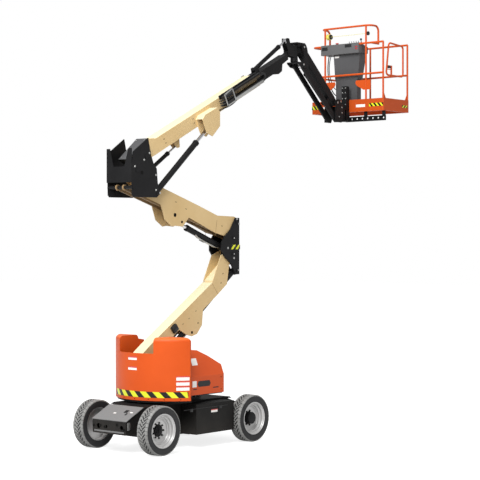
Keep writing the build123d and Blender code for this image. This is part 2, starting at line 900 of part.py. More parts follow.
# --- jib: level head, swing yoke, boom, strap link and ram ---
motor_r = 60
motor_low = level_pin[1] - 130
motor_top = level_pin[1] + 150
with BuildPart() as jib_head:
    post((swing_x, 0), motor_r, motor_low, motor_top)
    ear = [
        shift(level_pin, -42, -38),
        (swing_x, level_pin[1] - 70),
        (swing_x, level_pin[1] + 120),
        shift(level_pin, 40, 126),
        shift(level_pin, 6, 150),
        shift(slave_eye, 34, 34),
        shift(slave_eye, -30, 34),
        shift(slave_eye, -30, -60),
        shift(level_pin, -42, 40),
    ]
    twin(ear, ear_in, ear_out, corner=10)
    disc(level_pin, 24, -ear_out - 5, ear_out + 5)
save(jib_head, "jib_head")

yoke_in = strap_outer + 8
yoke_out = yoke_in + 14
yoke_frame = side_at((swing_x, level_pin[1]))
plate_low = motor_low - level_pin[1] - side_gap
plate_top = motor_top - level_pin[1] + side_gap
with BuildPart() as jib_yoke:
    cheek = [
        (-40, plate_low - 24),
        (40, -214),
        (150, -226),
        (224, -212),
        (244, -140),
        (226, 10),
        (204, 100),
        (172, 154),
        (140, plate_top + 24),
        (-66, plate_top + 24),
        (-66, plate_top),
        (66, plate_top),
        (78, 140),
        (80, 70),
        (126, 30),
        (126, -90),
        (60, plate_low),
        (-40, plate_low),
    ]
    twin(cheek, yoke_in, yoke_out, yoke_frame)
    slab(rect(-66, plate_top, 66, plate_top + 24), -yoke_out, yoke_out, yoke_frame)
    slab(rect(-40, plate_low - 24, 46, plate_low), -yoke_out, yoke_out, yoke_frame)
    disc(jib_pin, 26, -yoke_out - 6, yoke_out + 6)
    twin_disc(strap_pin, 20, strap_inner - 3, yoke_out + 6)
save(jib_yoke, "jib_yoke")

jib_frame = side_at(jib_pin, jib_angle)
with BuildPart() as jib_boom:
    slab(
        [
            (-32, -34),
            (-32, 40),
            (70, jib_depth / 2),
            (jib_length - 90, jib_depth / 2),
            (jib_length + 40, 46),
            (jib_length + 40, -46),
            (jib_length - 90, -jib_depth / 2),
            (70, -jib_depth / 2),
        ],
        -jib_half,
        jib_half,
        jib_frame,
        corner=14,
    )
    slab(
        rect(120, jib_wall - jib_depth / 2, jib_length - 120, jib_depth / 2 - jib_wall),
        jib_wall - jib_half,
        jib_half - jib_wall,
        jib_frame,
        mode=Mode.SUBTRACT,
    )
    disc((0, 0), 26 + pin_fit, -jib_half, jib_half, jib_frame, mode=Mode.SUBTRACT)
    disc((jib_length, 0), 26 + pin_fit, -jib_half, jib_half, jib_frame, mode=Mode.SUBTRACT)
    seat = jib_ram_seat
    twin([(seat - 50, -60), (seat + 40, -60), (seat + 26, -176), (seat - 26, -176)], 42, 54, jib_frame)
    disc((seat, -150), 15, -54, 54, jib_frame)
save(jib_boom, "jib_boom")

with BuildPart() as jib_straps:
    for inner, outer in ((strap_inner, strap_outer), (-strap_outer, -strap_inner)):
        slot(strap_pin, strap_end, strap_depth / 2, inner, outer)
        for point in (strap_pin, strap_end):
            disc(point, 20 + pin_fit, inner, outer, mode=Mode.SUBTRACT)
save(jib_straps, "jib_straps")
ram("jib_ram", jib_ram_base, jib_ram_eye, 0, 38, 19, 760, 76, 15)

# --- platform support and turning motor ---
turn_r = 60
turn_low = strap_end[1] + 10
turn_top = floor_z - 40
with BuildPart() as platform_support:
    cheek = [
        shift(strap_end, -44, -44),
        shift(strap_end, 130, -44),
        shift(strap_end, 180, 60),
        shift(strap_end, 180, 250),
        shift(jib_end, 70, 52),
        shift(jib_end, -10, 56),
        shift(jib_end, -46, 26),
    ]
    twin(cheek, yoke_in, yoke_out)
    web = shift(strap_end, 164, 30)
    slab(rect(web[0], web[1], web[0] + 16, strap_end[1] + 240), -yoke_out, yoke_out)
    slab(rect(web[0] + 16, turn_low + 10, turn_x, turn_top - 10), -44, 44)
    post((turn_x, 0), turn_r, turn_low, turn_top)
    disc(jib_end, 26, -yoke_out - 6, yoke_out + 6)
    twin_disc(strap_end, 20, strap_inner - 3, yoke_out + 6)
save(platform_support, "platform_support")

# --- platform: mount and support beam, deck, rails, gate, console ---
mount_x = turn_x + turn_r + 12
beam_x = platform_x + beam_setback
beam_low = platform_low - 164
beam_top = platform_low - 80
beam_pitch = 110
beam_hole = 15
with BuildPart() as platform_mount:
    post((turn_x, 0), turn_r + 14, turn_top + 6, turn_top + 26)
    post((turn_x, 0), turn_r + 14, turn_low - 28, turn_low - 6)
    slab(rect(turn_x, turn_top + 6, mount_x + 10, turn_top + 22), -60, 60)
    slab(rect(turn_x, turn_low - 22, mount_x + 10, turn_low - 6), -60, 60)
    slab(rect(mount_x, turn_low - 22, platform_x - 4, floor_z + 370), -50, 50)
    # Channel below the deck, with a row of holes through its web.
    slab(rect(beam_x, beam_low, beam_x + 8, beam_top), -platform_width / 2, 60)
    for flange in (beam_low, beam_top - 8):
        slab(rect(beam_x - 30, flange, beam_x + 8, flange + 8), -platform_width / 2, 60)
    for step in range(7):
        with BuildSketch(across(beam_x - 1)):
            with Locations((-platform_width / 2 + 48 + step * beam_pitch, (beam_low + beam_top) / 2 + 6)):
                Circle(beam_hole)
        extrude(amount=10, mode=Mode.SUBTRACT)
    slab(rect(platform_x - 14, beam_low + 8, beam_x + 4, beam_top - 8), -50, 50)
    for y in (-platform_width / 2 + 6, -platform_width / 4, 0):
        slab(rect(beam_x - 24, beam_top - 2, beam_x + 6, platform_low), y, y + 54)
save(platform_mount, "platform_mount")

platform_half = platform_width / 2
deck_outline = [
    (platform_x, -platform_half),
    (platform_front, -platform_half),
    (platform_front, platform_half),
    (platform_x, platform_half),
]
with BuildPart() as platform_deck:
    plan(deck_outline, platform_low, toe_top, corner=20)
    plan(
        rect(platform_x + 6, 6 - platform_half, platform_front - 6, platform_half - 6),
        floor_z,
        toe_top,
        corner=16,
        mode=Mode.SUBTRACT,
    )
    plan(
        rect(platform_x + 40, 40 - platform_half, platform_front - 40, platform_half - 40),
        platform_low,
        floor_z - 6,
        mode=Mode.SUBTRACT,
    )
    # Raised seat for the console's foot.
    plan(
        rect(platform_x + console_setback - 10, -170, platform_x + console_setback + 130, 320),
        floor_z - 3,
        floor_z + console_pad,
    )
save(platform_deck, "platform_deck")

rail_in = tube_radius + rail_inset
near_x = platform_x + rail_in
far_x = platform_front - rail_in
edge_y = platform_half - rail_in
posts = [
    # x, y, top
    (near_x, -edge_y, top_rail_z),
    (near_x, -385, bow_z),
    (near_x, 483, bow_z),
    (far_x, -edge_y, top_rail_z),
    (far_x, 40, top_rail_z),
    (far_x, edge_y - 60, top_rail_z),
]


def tube(points, radius, bend=0):
    # A round tube along a path of straight runs, given as machine points.
    path = [(slew_x + x, y, z) for x, y, z in points]
    with BuildLine() as line:
        if bend:
            FilletPolyline(*path, radius=bend)
        else:
            Polyline(*path)
    start = line.line @ 0
    with BuildSketch(Plane(origin=start, z_dir=line.line % 0)) as section:
        Circle(radius)
    sweep(section.sketch, path=line.line)


with BuildPart() as platform_rails:
    for x, y, top in posts:
        post((x, y), tube_radius - 1, toe_top, top)
    for z in (top_rail_z, mid_rail_z):
        tube(
            [
                (near_x, -edge_y, z),
                (near_x, edge_y, z),
                (far_x, edge_y, z),
                (far_x, -edge_y, z),
            ],
            tube_radius,
            60,
        )
    tube(
        [
            (near_x + 240, 560, top_rail_z),
            (near_x + 240, 560, bow_z),
            (near_x, 560, bow_z),
            (near_x, -470, bow_z),
            (near_x + 240, -470, bow_z),
            (near_x + 240, -470, top_rail_z),
        ],
        tube_radius,
        90,
    )
    for y in (560, -470):
        tube([(near_x, y, top_rail_z), (near_x + 252, y, top_rail_z)], tube_radius - 3)
    # Brackets beside the console, one on each tall post.
    for inner, post_y in ((-165, -385), (262, 483)):
        way = 1 if post_y > 0 else -1
        with BuildSketch(across(near_x - 4)) as bracket:
            Polygon(
                (inner, floor_z + 420),
                (inner + 10 * way, floor_z + 465),
                (post_y + 95 * way, floor_z + 465),
                (post_y + 95 * way, floor_z + 300),
                (post_y - 55 * way, floor_z + 300),
                (inner + 25 * way, floor_z + 380),
                align=None,
            )
        extrude(bracket.sketch, amount=8)
    # Gussets between the toe board and the end posts.
    for x, way in ((near_x, 1), (far_x, -1)):
        slab([(x, toe_top - 4), (x + 75 * way, toe_top - 4), (x + 10 * way, toe_top + 110), (x, toe_top + 110)], -edge_y - 4, 4 - edge_y)
save(platform_rails, "platform_rails")

gate_hinge_x = far_x - gate_setback
gate_free_x = platform_x + 105
gate_tube = tube_radius - 2
gate_low = mid_rail_z - 36
with BuildPart() as platform_gate:
    y = -edge_y
    tube(
        [
            (gate_hinge_x, y, top_rail_z - 40),
            (gate_free_x + 80, y, top_rail_z - 6),
            (gate_free_x, y, gate_low),
            (gate_hinge_x, y, gate_low),
            (gate_hinge_x, y, top_rail_z - 40),
        ],
        gate_tube,
        55,
    )
    # Latch frame standing on the bottom bar.
    slab(rect(gate_free_x + 140, gate_low, gate_free_x + 166, gate_low + 165), y - 10, y + 10)
    slab(rect(gate_free_x + 14, gate_low + 149, gate_free_x + 166, gate_low + 165), y - 10, y + 10)
    slab(rect(gate_free_x + 14, gate_low + 92, gate_free_x + 166, gate_low + 104), y - 6, y + 6)
save(platform_gate, "platform_gate")

# A pedestal, a flared body above its step, and the panel box on top.
foot_x = platform_x + console_setback
foot_z = floor_z + console_pad
step_z = floor_z + console_step
with BuildPart() as control_console:
    for wall, mode in ((0, Mode.ADD), (console_wall, Mode.SUBTRACT)):
        plan(
            rect(foot_x + wall, -150 + wall, foot_x + 115 - wall, 300 - wall),
            foot_z + wall,
            step_z + (0 if mode == Mode.ADD else 20),
            mode=mode,
        )
        with BuildSketch(level(step_z + wall)) as waist:
            with Locations((foot_x + 65, 72)):
                Rectangle(140 - 2 * wall, 480 - 2 * wall)
        with BuildSketch(level(console_z - wall)) as shoulder:
            with Locations((foot_x + 85, 62)):
                Rectangle(190 - 2 * wall, 560 - 2 * wall)
        loft([waist.sketch, shoulder.sketch], mode=mode)
    box_side = [
        (foot_x - 18, console_z),
        (foot_x + 190, console_z),
        (foot_x + 190, console_z + console_box - 55),
        (foot_x - 18, console_z + console_box),
    ]
    slab(box_side, -240, 545)
    panel_wall = console_wall
    box_core = [
        (foot_x - 18 + panel_wall, console_z + panel_wall),
        (foot_x + 190 - panel_wall, console_z + panel_wall),
        (foot_x + 190 - panel_wall, console_z + console_box - 63),
        (foot_x - 18 + panel_wall, console_z + console_box - 10),
    ]
    slab(box_core, -232, 537, mode=Mode.SUBTRACT)
save(control_console, "control_console")
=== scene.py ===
import json
from math import cos, pi, radians, sin

import bmesh
import bpy
from mathutils import Matrix, Vector


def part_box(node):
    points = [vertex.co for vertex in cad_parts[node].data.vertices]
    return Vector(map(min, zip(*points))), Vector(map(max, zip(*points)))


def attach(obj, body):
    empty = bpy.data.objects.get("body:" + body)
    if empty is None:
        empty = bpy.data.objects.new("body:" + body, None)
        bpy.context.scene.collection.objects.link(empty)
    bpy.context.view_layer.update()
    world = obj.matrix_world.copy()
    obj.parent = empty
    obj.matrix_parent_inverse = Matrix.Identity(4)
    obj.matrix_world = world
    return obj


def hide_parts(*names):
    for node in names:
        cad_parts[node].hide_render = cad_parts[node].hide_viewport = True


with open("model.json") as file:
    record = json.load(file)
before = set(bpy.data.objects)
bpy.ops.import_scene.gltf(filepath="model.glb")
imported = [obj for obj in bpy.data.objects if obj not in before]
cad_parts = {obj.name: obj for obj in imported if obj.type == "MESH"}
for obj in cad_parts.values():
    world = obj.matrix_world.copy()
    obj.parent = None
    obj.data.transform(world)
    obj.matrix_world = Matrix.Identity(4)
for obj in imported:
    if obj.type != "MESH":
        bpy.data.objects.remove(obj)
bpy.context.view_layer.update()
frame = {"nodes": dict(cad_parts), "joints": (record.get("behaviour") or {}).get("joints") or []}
print("frame loaded")

joints = {joint["name"]: joint for joint in frame["joints"]}
pin = {name: Vector(joint["pos_m"]) for name, joint in joints.items() if joint.get("pos_m")}
slewX = pin["turntable_swing"].x


# small tools
def toLinear(code):
    # sRGB hex to the linear colour that shaders use
    parts = [int(code[i:i + 2], 16) / 255 for i in (1, 3, 5)]
    return tuple(c / 12.92 if c <= 0.04045 else ((c + 0.055) / 1.055) ** 2.4 for c in parts) + (1.0,)


def addNode(tree, kind, settings=None, links=None):
    # adds a node; a link is a plain value or (node, output)
    node = tree.nodes.new(kind)
    for key, value in (settings or {}).items():
        setattr(node, key, value)
    for key, value in (links or {}).items():
        if isinstance(value, tuple) and isinstance(value[0], bpy.types.Node):
            tree.links.new(value[0].outputs[value[1]], node.inputs[key])
        else:
            node.inputs[key].default_value = value
    return node


def addMath(tree, operation, first, second):
    return addNode(tree, "ShaderNodeMath", {"operation": operation}, {0: first, 1: second})


def addRange(tree, value, start=0.0, end=1.0, low=0.0, high=1.0):
    ends = {"From Min": start, "From Max": end, "To Min": low, "To Max": high}
    return addNode(tree, "ShaderNodeMapRange", None, {"Value": value, **ends})


def addMix(tree, share, under, over):
    # its colour is output 2
    return addNode(tree, "ShaderNodeMix", {"data_type": "RGBA"}, {0: share, 6: under, 7: over})


def addNoise(tree, place, scale, detail, roughness=0.5):
    look = {"Scale": scale, "Detail": detail, "Roughness": roughness}
    return addNode(tree, "ShaderNodeTexNoise", None, {"Vector": (place, "Object"), **look})


def frameAt(origin, along):
    # local x runs along, y across the machine, z square to both
    x = Vector(along).normalized()
    y = Vector((0, 1, 0))
    z = x.cross(y).normalized()
    y = z.cross(x)
    turn = Matrix((x, y, z)).transposed().to_4x4()
    return Matrix.Translation(Vector(origin)) @ turn


def addFaces(mesh, corners):
    # one face for each list of corners, all turned outwards
    faces = [mesh.faces.new(vertices) for vertices in corners]
    bmesh.ops.recalc_face_normals(mesh, faces=faces)
    return faces


def between(rings):
    # the faces that join each ring to the next; a ring of one vertex is a pole
    corners = []
    for a, b in zip(rings, rings[1:]):
        sides = max(len(a), len(b))
        for i in range(sides):
            j = (i + 1) % sides
            if len(a) == 1:
                corners.append((a[0], b[i], b[j]))
            elif len(b) == 1:
                corners.append((a[i], a[j], b[0]))
            else:
                corners.append((a[i], a[j], b[j], b[i]))
    return corners


def addPrism(mesh, outline, low, high, place, bevel, steps=2):
    # an outline in local x and z, pulled from y = low to y = high
    place = place or Matrix.Identity(4)
    near = [mesh.verts.new(place @ Vector((x, low, z))) for x, z in outline]
    far = [mesh.verts.new(place @ Vector((x, high, z))) for x, z in outline]
    after = [(i, (i + 1) % len(outline)) for i in range(len(outline))]
    faces = addFaces(mesh, [near, far] + [(near[i], near[j], far[j], far[i]) for i, j in after])
    edges = list(dict.fromkeys(edge for face in faces for edge in face.edges))
    bmesh.ops.bevel(
        mesh, geom=edges, offset=bevel, segments=steps, profile=0.6, affect="EDGES", clamp_overlap=True,
    )


def addBox(mesh, low, high, bevel, place=None):
    outline = [(low[0], low[2]), (high[0], low[2]), (high[0], high[2]), (low[0], high[2])]
    addPrism(mesh, outline, low[1], high[1], place, bevel)


def addTurned(mesh, profile, origin, axis, sides):
    # a profile of (radius, height) turned about an axis
    spin = Vector((0, 0, 1)).rotation_difference(Vector(axis).normalized()).to_matrix().to_4x4()
    place = Matrix.Translation(Vector(origin)) @ spin
    rings = []
    turns = [2 * pi * i / sides for i in range(sides)]
    for radius, height in profile:
        if radius < 1e-6:
            ring = [(0, 0, height)]
        else:
            ring = [(radius * cos(turn), radius * sin(turn), height) for turn in turns]
        rings.append([mesh.verts.new(place @ Vector(p)) for p in ring])
    addFaces(mesh, between(rings))


def addRod(mesh, start, end, radius, edge, sides):
    # a round bar from start to end, with its rims cut by edge
    start, end = Vector(start), Vector(end)
    length = (end - start).length
    profile = [
        (0, 0), (radius - edge, 0), (radius, edge), (radius, length - edge), (radius - edge, length),
        (0, length),
    ]
    addTurned(mesh, profile, start, end - start, sides)


def addSweep(mesh, points, radius, sides=10):
    # a round bar along points, with mitred corners
    rings = []
    side = None
    for i, p in enumerate(points):
        before = (p - points[i - 1]).normalized() if i else Vector()
        after = (points[i + 1] - p).normalized() if i < len(points) - 1 else Vector()
        along = (after + before).normalized()
        if side is None:
            side = along.orthogonal().normalized()
        side = (side - along * side.dot(along)).normalized()
        other = along.cross(side)
        turns = [2 * pi * k / sides for k in range(sides)]
        rings.append([
            mesh.verts.new(p + (side * cos(turn) + other * sin(turn)) * radius)
            for turn in turns
        ])
    addFaces(mesh, between(rings) + [rings[0][::-1], rings[-1]])


def rounded(points, bend):
    # the same line with its inner corners rounded
    points = [Vector(p) for p in points]
    line = [points[0]]
    for a, b, c in zip(points, points[1:], points[2:]):
        into, out = (a - b), (c - b)
        cut = min(bend, into.length * 0.49, out.length * 0.49)
        start, end = b + into.normalized() * cut, b + out.normalized() * cut
        for t in (0.0, 0.2, 0.4, 0.6, 0.8, 1.0):
            line.append(start * (1 - t) ** 2 + b * 2 * t * (1 - t) + end * t * t)
    return line + [points[-1]]


def rawPiece(name, data):
    piece = bpy.data.objects.new(name, data)
    bpy.context.scene.collection.objects.link(piece)
    return piece


def asMesh(mesh, name):
    # closes a bmesh into mesh data
    data = bpy.data.meshes.new(name)
    mesh.to_mesh(data)
    mesh.free()
    return data


def bakeTree(piece, tree, values):
    # runs a geometry tree on a piece and keeps its result as a plain mesh
    modifier = piece.modifiers.new(tree.name, "NODES")
    modifier.node_group = tree
    for item in tree.interface.items_tree:
        if item.item_type == "SOCKET" and item.in_out == "INPUT" and item.name in values:
            modifier[item.identifier] = values[item.name]
    graph = bpy.context.evaluated_depsgraph_get()
    data = bpy.data.meshes.new_from_object(piece.evaluated_get(graph))
    data.name = piece.name
    bpy.data.objects.remove(piece)
    return data


# camera, light and floor
view = {
    "place": (-16.797, -15.623, 3.161),  # from the slewing axis
    "turn": 49.568,
    "tilt": 89.744,
    "lens": 114.83,
    "sensor": 36,
}
lights = {
    "worldStrength": 0.5,
    "keyLamp": {"size": 9.0, "watts": 2650, "place": (-11.5, -4.3, 11.5), "target": (0, 0, 2.5)},
    "fillLamp": {"size": 10.0, "watts": 60, "place": (9.0, -9.0, 6.0), "target": (0, 0, 3.0)},
}
floorLook = {"size": 60.0, "colour": "#C8C8C8", "lift": 0.8}

scene = bpy.context.scene
scene.view_settings.view_transform = "Standard"
lensData = bpy.data.cameras.new("viewCamera")
lensData.lens = view["lens"]
lensData.sensor_width = view["sensor"]
lensData.clip_end = 200
camera = rawPiece("viewCamera", lensData)
camera.location = Vector(view["place"]) + Vector((slewX, 0, 0))
camera.rotation_euler = (radians(view["tilt"]), 0, radians(-view["turn"]))
scene.camera = camera


def addLamp(name, look):
    data = bpy.data.lights.new(name, "AREA")
    data.size = look["size"]
    data.energy = look["watts"]
    lamp = rawPiece(name, data)
    lamp.location = look["place"]
    aim = Vector(look["target"]) - Vector(look["place"])
    lamp.rotation_euler = aim.to_track_quat("-Z", "Y").to_euler()


for name in ("keyLamp", "fillLamp"):
    addLamp(name, lights[name])


def seenBy(tree, *kinds):
    # 1 for the kinds of ray that are named, 0 for the rest
    ray = addNode(tree, "ShaderNodeLightPath")
    seen = (ray, kinds[0])
    for kind in kinds[1:]:
        seen = (addMath(tree, "MAXIMUM", seen, (ray, kind)), 0)
    return seen


def paleWorld():
    # white to the camera, soft and dimmer as light
    world = bpy.data.worlds.new("paleRoom")
    world.use_nodes = True
    tree = world.node_tree
    tree.nodes.clear()
    seen = seenBy(tree, "Is Camera Ray", "Is Transmission Ray")
    level = addRange(tree, seen, low=lights["worldStrength"], high=1.0)
    glow = addNode(tree, "ShaderNodeBackground", None, {"Color": (1, 1, 1, 1), "Strength": (level, 0)})
    addNode(tree, "ShaderNodeOutputWorld", None, {"Surface": (glow, 0)})
    return world


def paleFloor():
    # matt pale paper, lifted to near white where it is seen, so only soft shadow shows
    material = bpy.data.materials.new("paleFloor")
    material.use_nodes = True
    tree = material.node_tree
    tree.nodes.clear()
    seen = seenBy(tree, "Is Camera Ray", "Is Transmission Ray", "Is Glossy Ray")
    lift = addMath(tree, "MULTIPLY", seen, floorLook["lift"])
    matt = addNode(tree, "ShaderNodeBsdfDiffuse", None, {"Color": toLinear(floorLook["colour"])})
    glow = addNode(tree, "ShaderNodeEmission", None, {"Color": (1, 1, 1, 1), "Strength": (lift, 0)})
    both = addNode(tree, "ShaderNodeAddShader", None, {0: (matt, 0), 1: (glow, 0)})
    addNode(tree, "ShaderNodeOutputMaterial", None, {"Surface": (both, 0)})
    return material


scene.world = paleWorld()
mesh = bmesh.new()
bmesh.ops.create_grid(mesh, x_segments=1, y_segments=1, size=floorLook["size"])
floorPiece = rawPiece("studioFloor", asMesh(mesh, "studioFloor"))
floorPiece.data.materials.append(paleFloor())
print("camera, light and floor ready")


# finishes
def newFinish(name):
    # an empty material, with the node that gives Object coordinates and normals
    material = bpy.data.materials.new(name)
    material.use_nodes = True
    material.node_tree.nodes.clear()
    return material, material.node_tree, addNode(material.node_tree, "ShaderNodeTexCoord")


def addCoat(tree, colour, gloss, bump, **values):
    coat = addNode(tree, "ShaderNodeBsdfPrincipled", None, {
        "Base Color": (colour, 2), "Roughness": (gloss, 0), "Normal": (bump, 0), **values,
    })
    addNode(tree, "ShaderNodeOutputMaterial", None, {"Surface": (coat, 0)})


def addFacing(tree, place, start, end):
    # how far a face looks up, or down where the span is below zero
    apart = addNode(tree, "ShaderNodeSeparateXYZ", None, {0: (place, "Normal")})
    smooth = {"interpolation_type": "SMOOTHSTEP"}
    return addNode(
        tree, "ShaderNodeMapRange", smooth, {"Value": (apart, "Z"), "From Min": start, "From Max": end},
    )


def coatFinish(name, low, high, rough, **look):
    # A sprayed, moulded or plated coat: slow drift in colour, a fine skin, specks of wear, dust low down, and
    # where asked painted light on faces that look up and painted shade on faces that look down.
    # Sizes are in millimetres; the skin is drawn coarser than real so that it shows.
    material, tree, place = newFinish(name)
    drift = addNoise(tree, place, 1000 / look.get("driftMm", 420), 4.0, 0.55)
    spread = addRange(tree, (drift, 0), 0.3, 0.7)
    colour = addMix(tree, (spread, 0), toLinear(low), toLinear(high))
    if "top" in look:
        # painted light: faces that look up are painted lighter, as if lit from above
        upward = addFacing(tree, place, 0.35, 0.7)
        colour = addMix(tree, (upward, 0), (colour, 2), toLinear(look["top"]))
    if "under" in look:
        # painted shade: faces that look down are painted darker
        downward = addFacing(tree, place, -0.3, -0.8)
        colour = addMix(tree, (downward, 0), (colour, 2), toLinear(look["under"]))
    # scuffs: small bare or dusty specks
    speck = addNoise(tree, place, 1000 / look.get("speckMm", 24), 6.0, 0.7)
    worn = addRange(tree, (speck, 0), 0.66, 0.74)
    amount = addMath(tree, "MULTIPLY", (worn, 0), look.get("wear", 0.25))
    colour = addMix(tree, (amount, 0), (colour, 2), toLinear(look.get("scuff", "#8A8378")))
    if "dust" in look:
        # thrown up by the wheels, thinning with height
        bottom, top, most = look["dust"]
        height = addNode(tree, "ShaderNodeSeparateXYZ", None, {0: (place, "Object")})
        thin = addRange(tree, (height, "Z"), bottom, top, most, 0.0)
        patchy = addMath(tree, "MULTIPLY", (thin, 0), (drift, 0))
        colour = addMix(tree, (patchy, 0), (colour, 2), toLinear("#9A9184"))
    gloss = addRange(tree, (speck, 0), 0.3, 0.7, *rough)
    skin = addNoise(tree, place, 1000 / look.get("skinMm", 7), 2.0)
    bump = addNode(tree, "ShaderNodeBump", None, {
        "Height": (skin, 0), "Strength": look.get("skin", 0.12), "Distance": 0.002,
    })
    addCoat(tree, colour, gloss, bump, **{
        "Metallic": look.get("metal", 0.0), "Specular IOR Level": look.get("specular", 0.5),
        "Coat Weight": look.get("coat", 0.0), "Coat Roughness": 0.12,
    })
    return material


# orange powder coat: an even warm sheen on steel, painted lighter on faces that look up, as painted light
# from above
orangePaint = coatFinish(
    "orangePowderCoat", "#CA4E17", "#D65619", (0.36, 0.48), top="#E86C30", specular=0.22, wear=0.1,
    scuff="#B9501F", driftMm=900,
)
# moulded orange covers: a smoother skin; faces that look up are painted lighter as painted light, faces that
# look down darker as painted shade
orangeCover = coatFinish(
    "orangeMouldedCover", "#C84A17", "#D2531B", (0.32, 0.44), top="#E4662F", under="#A04018",
    specular=0.28, wear=0.08, scuff="#B9501F", driftMm=900,
)
# cream enamel on the booms, split by facing into painted light and shade: tan on the flanks, pale cream on
# faces that look up, darker on faces that look down
creamEnamel = coatFinish(
    "creamBoomEnamel", "#D0B17C", "#DCC08E", (0.36, 0.5), top="#EADEB8", under="#B08E5C", specular=0.3,
    wear=0.1, scuff="#A98C5F", driftMm=700,
)
# dark tan on the link that runs under the booms, painted shade for the shadow the booms cast on it; the same
# tan draws the joint lines on the booms
tanLinkShadeAndJoints = coatFinish(
    "tanLinkEnamel", "#8E7451", "#A08560", (0.4, 0.55), specular=0.3, wear=0.25, scuff="#6E5A3E",
)
# satin black powder coat: near black, grey where it rubs
blackCoat = coatFinish(
    "blackPowderCoat", "#131314", "#1B1B1C", (0.42, 0.58), specular=0.14, wear=0.25, scuff="#3E3D3A",
    skin=0.2,
)
# the same coat lower down, duller and with road dust
chassisCoat = coatFinish(
    "chassisPowderCoat", "#111112", "#191919", (0.5, 0.65), specular=0.12, wear=0.25, scuff="#3C3A37",
    dust=(0.1, 0.8, 0.1), skin=0.2,
)
# grey anti-slip paint on bent plate: coarse grain and dark scuffs, painted lighter on faces that look up as
# painted light
greyDeckPaint = coatFinish(
    "greyDeckPaint", "#666666", "#747474", (0.5, 0.7), top="#7E7E7E", specular=0.3, wear=0.5,
    scuff="#565656", skin=0.6, skinMm=12, speckMm=30,
)
# wheel silver: flake under lacquer, dusty towards the ground
wheelSilver = coatFinish(
    "wheelSilverLacquer", "#B4B4B4", "#CDCDCD", (0.28, 0.42), metal=0.35, wear=0.2, scuff="#8A8A88",
    dust=(0.0, 0.9, 0.3),
)
# smooth sidewall rubber, dark and barely shining
rubberSide = coatFinish(
    "tyreSidewallRubber", "#2A2A2B", "#343435", (0.6, 0.8), specular=0.25, wear=0.35, scuff="#55534F",
    skin=0.3, speckMm=40,
)
# tread rubber bleached and scuffed by use, quite matt
rubberTread = coatFinish(
    "scuffedTreadRubber", "#80807E", "#9A9A98", (0.75, 0.9), specular=0.2, wear=0.5, scuff="#5E5D5A",
    skin=0.4, driftMm=90, speckMm=30,
)
# hard chrome on the rods: bright, with faint draw lines
chromePlate = coatFinish(
    "hardChromePlate", "#B9B9BB", "#CFCFD1", (0.12, 0.22), metal=1.0, wear=0.1, skin=0.03,
)
# zinc plated fixings, grey and lightly mottled
bareSteel = coatFinish(
    "zincPlatedSteel", "#A2A3A2", "#BDBDBA", (0.3, 0.45), metal=0.8, wear=0.3, scuff="#7A786F",
)
# iron casting, coarse and dark
castBlack = coatFinish(
    "roughIronCasting", "#161616", "#20201F", (0.65, 0.82), specular=0.15, skin=0.7, skinMm=14,
)
# moulded shell: matt mid grey with a fine grain; on the main boom's tail cover the same grey is a painted
# reflection on a black cap
greyShellAndCapReflection = coatFinish(
    "greyMouldedShell", "#484849", "#525254", (0.5, 0.62), specular=0.35, wear=0.12, scuff="#6C6C6C",
)
# panel shell, a shade above the console's body
paleMoulding = coatFinish(
    "paleGreyPanelShell", "#5A5A5B", "#636364", (0.45, 0.58), specular=0.35, wear=0.12, scuff="#8F8F8F",
)
# black moulded plastic with soft highlights
blackMoulding = coatFinish(
    "blackMouldedPlastic", "#161617", "#1F1F20", (0.4, 0.55), specular=0.35, wear=0.2, scuff="#3A3A3A",
)
# hose rubber, black and dull
hoseRubber = coatFinish(
    "blackHoseRubber", "#141415", "#1D1D1E", (0.45, 0.6), specular=0.3, wear=0.2, scuff="#33322F",
)
# blank label film, white with light scratches
whiteDecal = coatFinish(
    "blankWhiteLabel", "#EFEDE8", "#F6F4F0", (0.3, 0.4), wear=0.15, scuff="#BDB8AE", skin=0.03,
)
# red button cap, smooth and glossy
redButton = coatFinish("redButtonPlastic", "#B01C24", "#C2242C", (0.25, 0.35), wear=0.05, skin=0.03)
# yellow reel and wire sleeve, bright and matt
yellowMoulding = coatFinish(
    "yellowReelPlastic", "#E6D862", "#F0E478", (0.4, 0.5), wear=0.1, scuff="#B0A548", skin=0.05,
)
# red heading strip of a label
redVinyl = coatFinish("fadedRedVinyl", "#C4423E", "#D0544C", (0.3, 0.4), wear=0.1, skin=0.03)
# yellow bars of the safety tape
yellowVinyl = coatFinish(
    "safetyYellowVinyl", "#D9DE1E", "#E4E82A", (0.28, 0.4), wear=0.25, scuff="#A6A43C", skin=0.03,
)
# black bars of the safety tape, and dark panel film
blackVinyl = coatFinish(
    "safetyBlackVinyl", "#101011", "#171718", (0.28, 0.4), specular=0.3, wear=0.25, scuff="#3B3A35",
    skin=0.03,
)
# red reflector, clear and glossy
redLens = coatFinish("redReflectorLens", "#A01820", "#B8222A", (0.15, 0.25), skin=0.02)
# plastic links with dust worked in
linkPlastic = coatFinish(
    "dustyLinkPlastic", "#453D31", "#5E5342", (0.55, 0.7), specular=0.2, wear=0.4, scuff="#7A6C55",
    speckMm=12,
)
# painted shade: a dark disc for the dark inside a bored hole; the same black draws the weld marks on the
# booms
boreShadeAndWeldMarks = coatFinish("shadowedBore", "#0A0A0A", "#121211", (0.7, 0.85), specular=0.1)


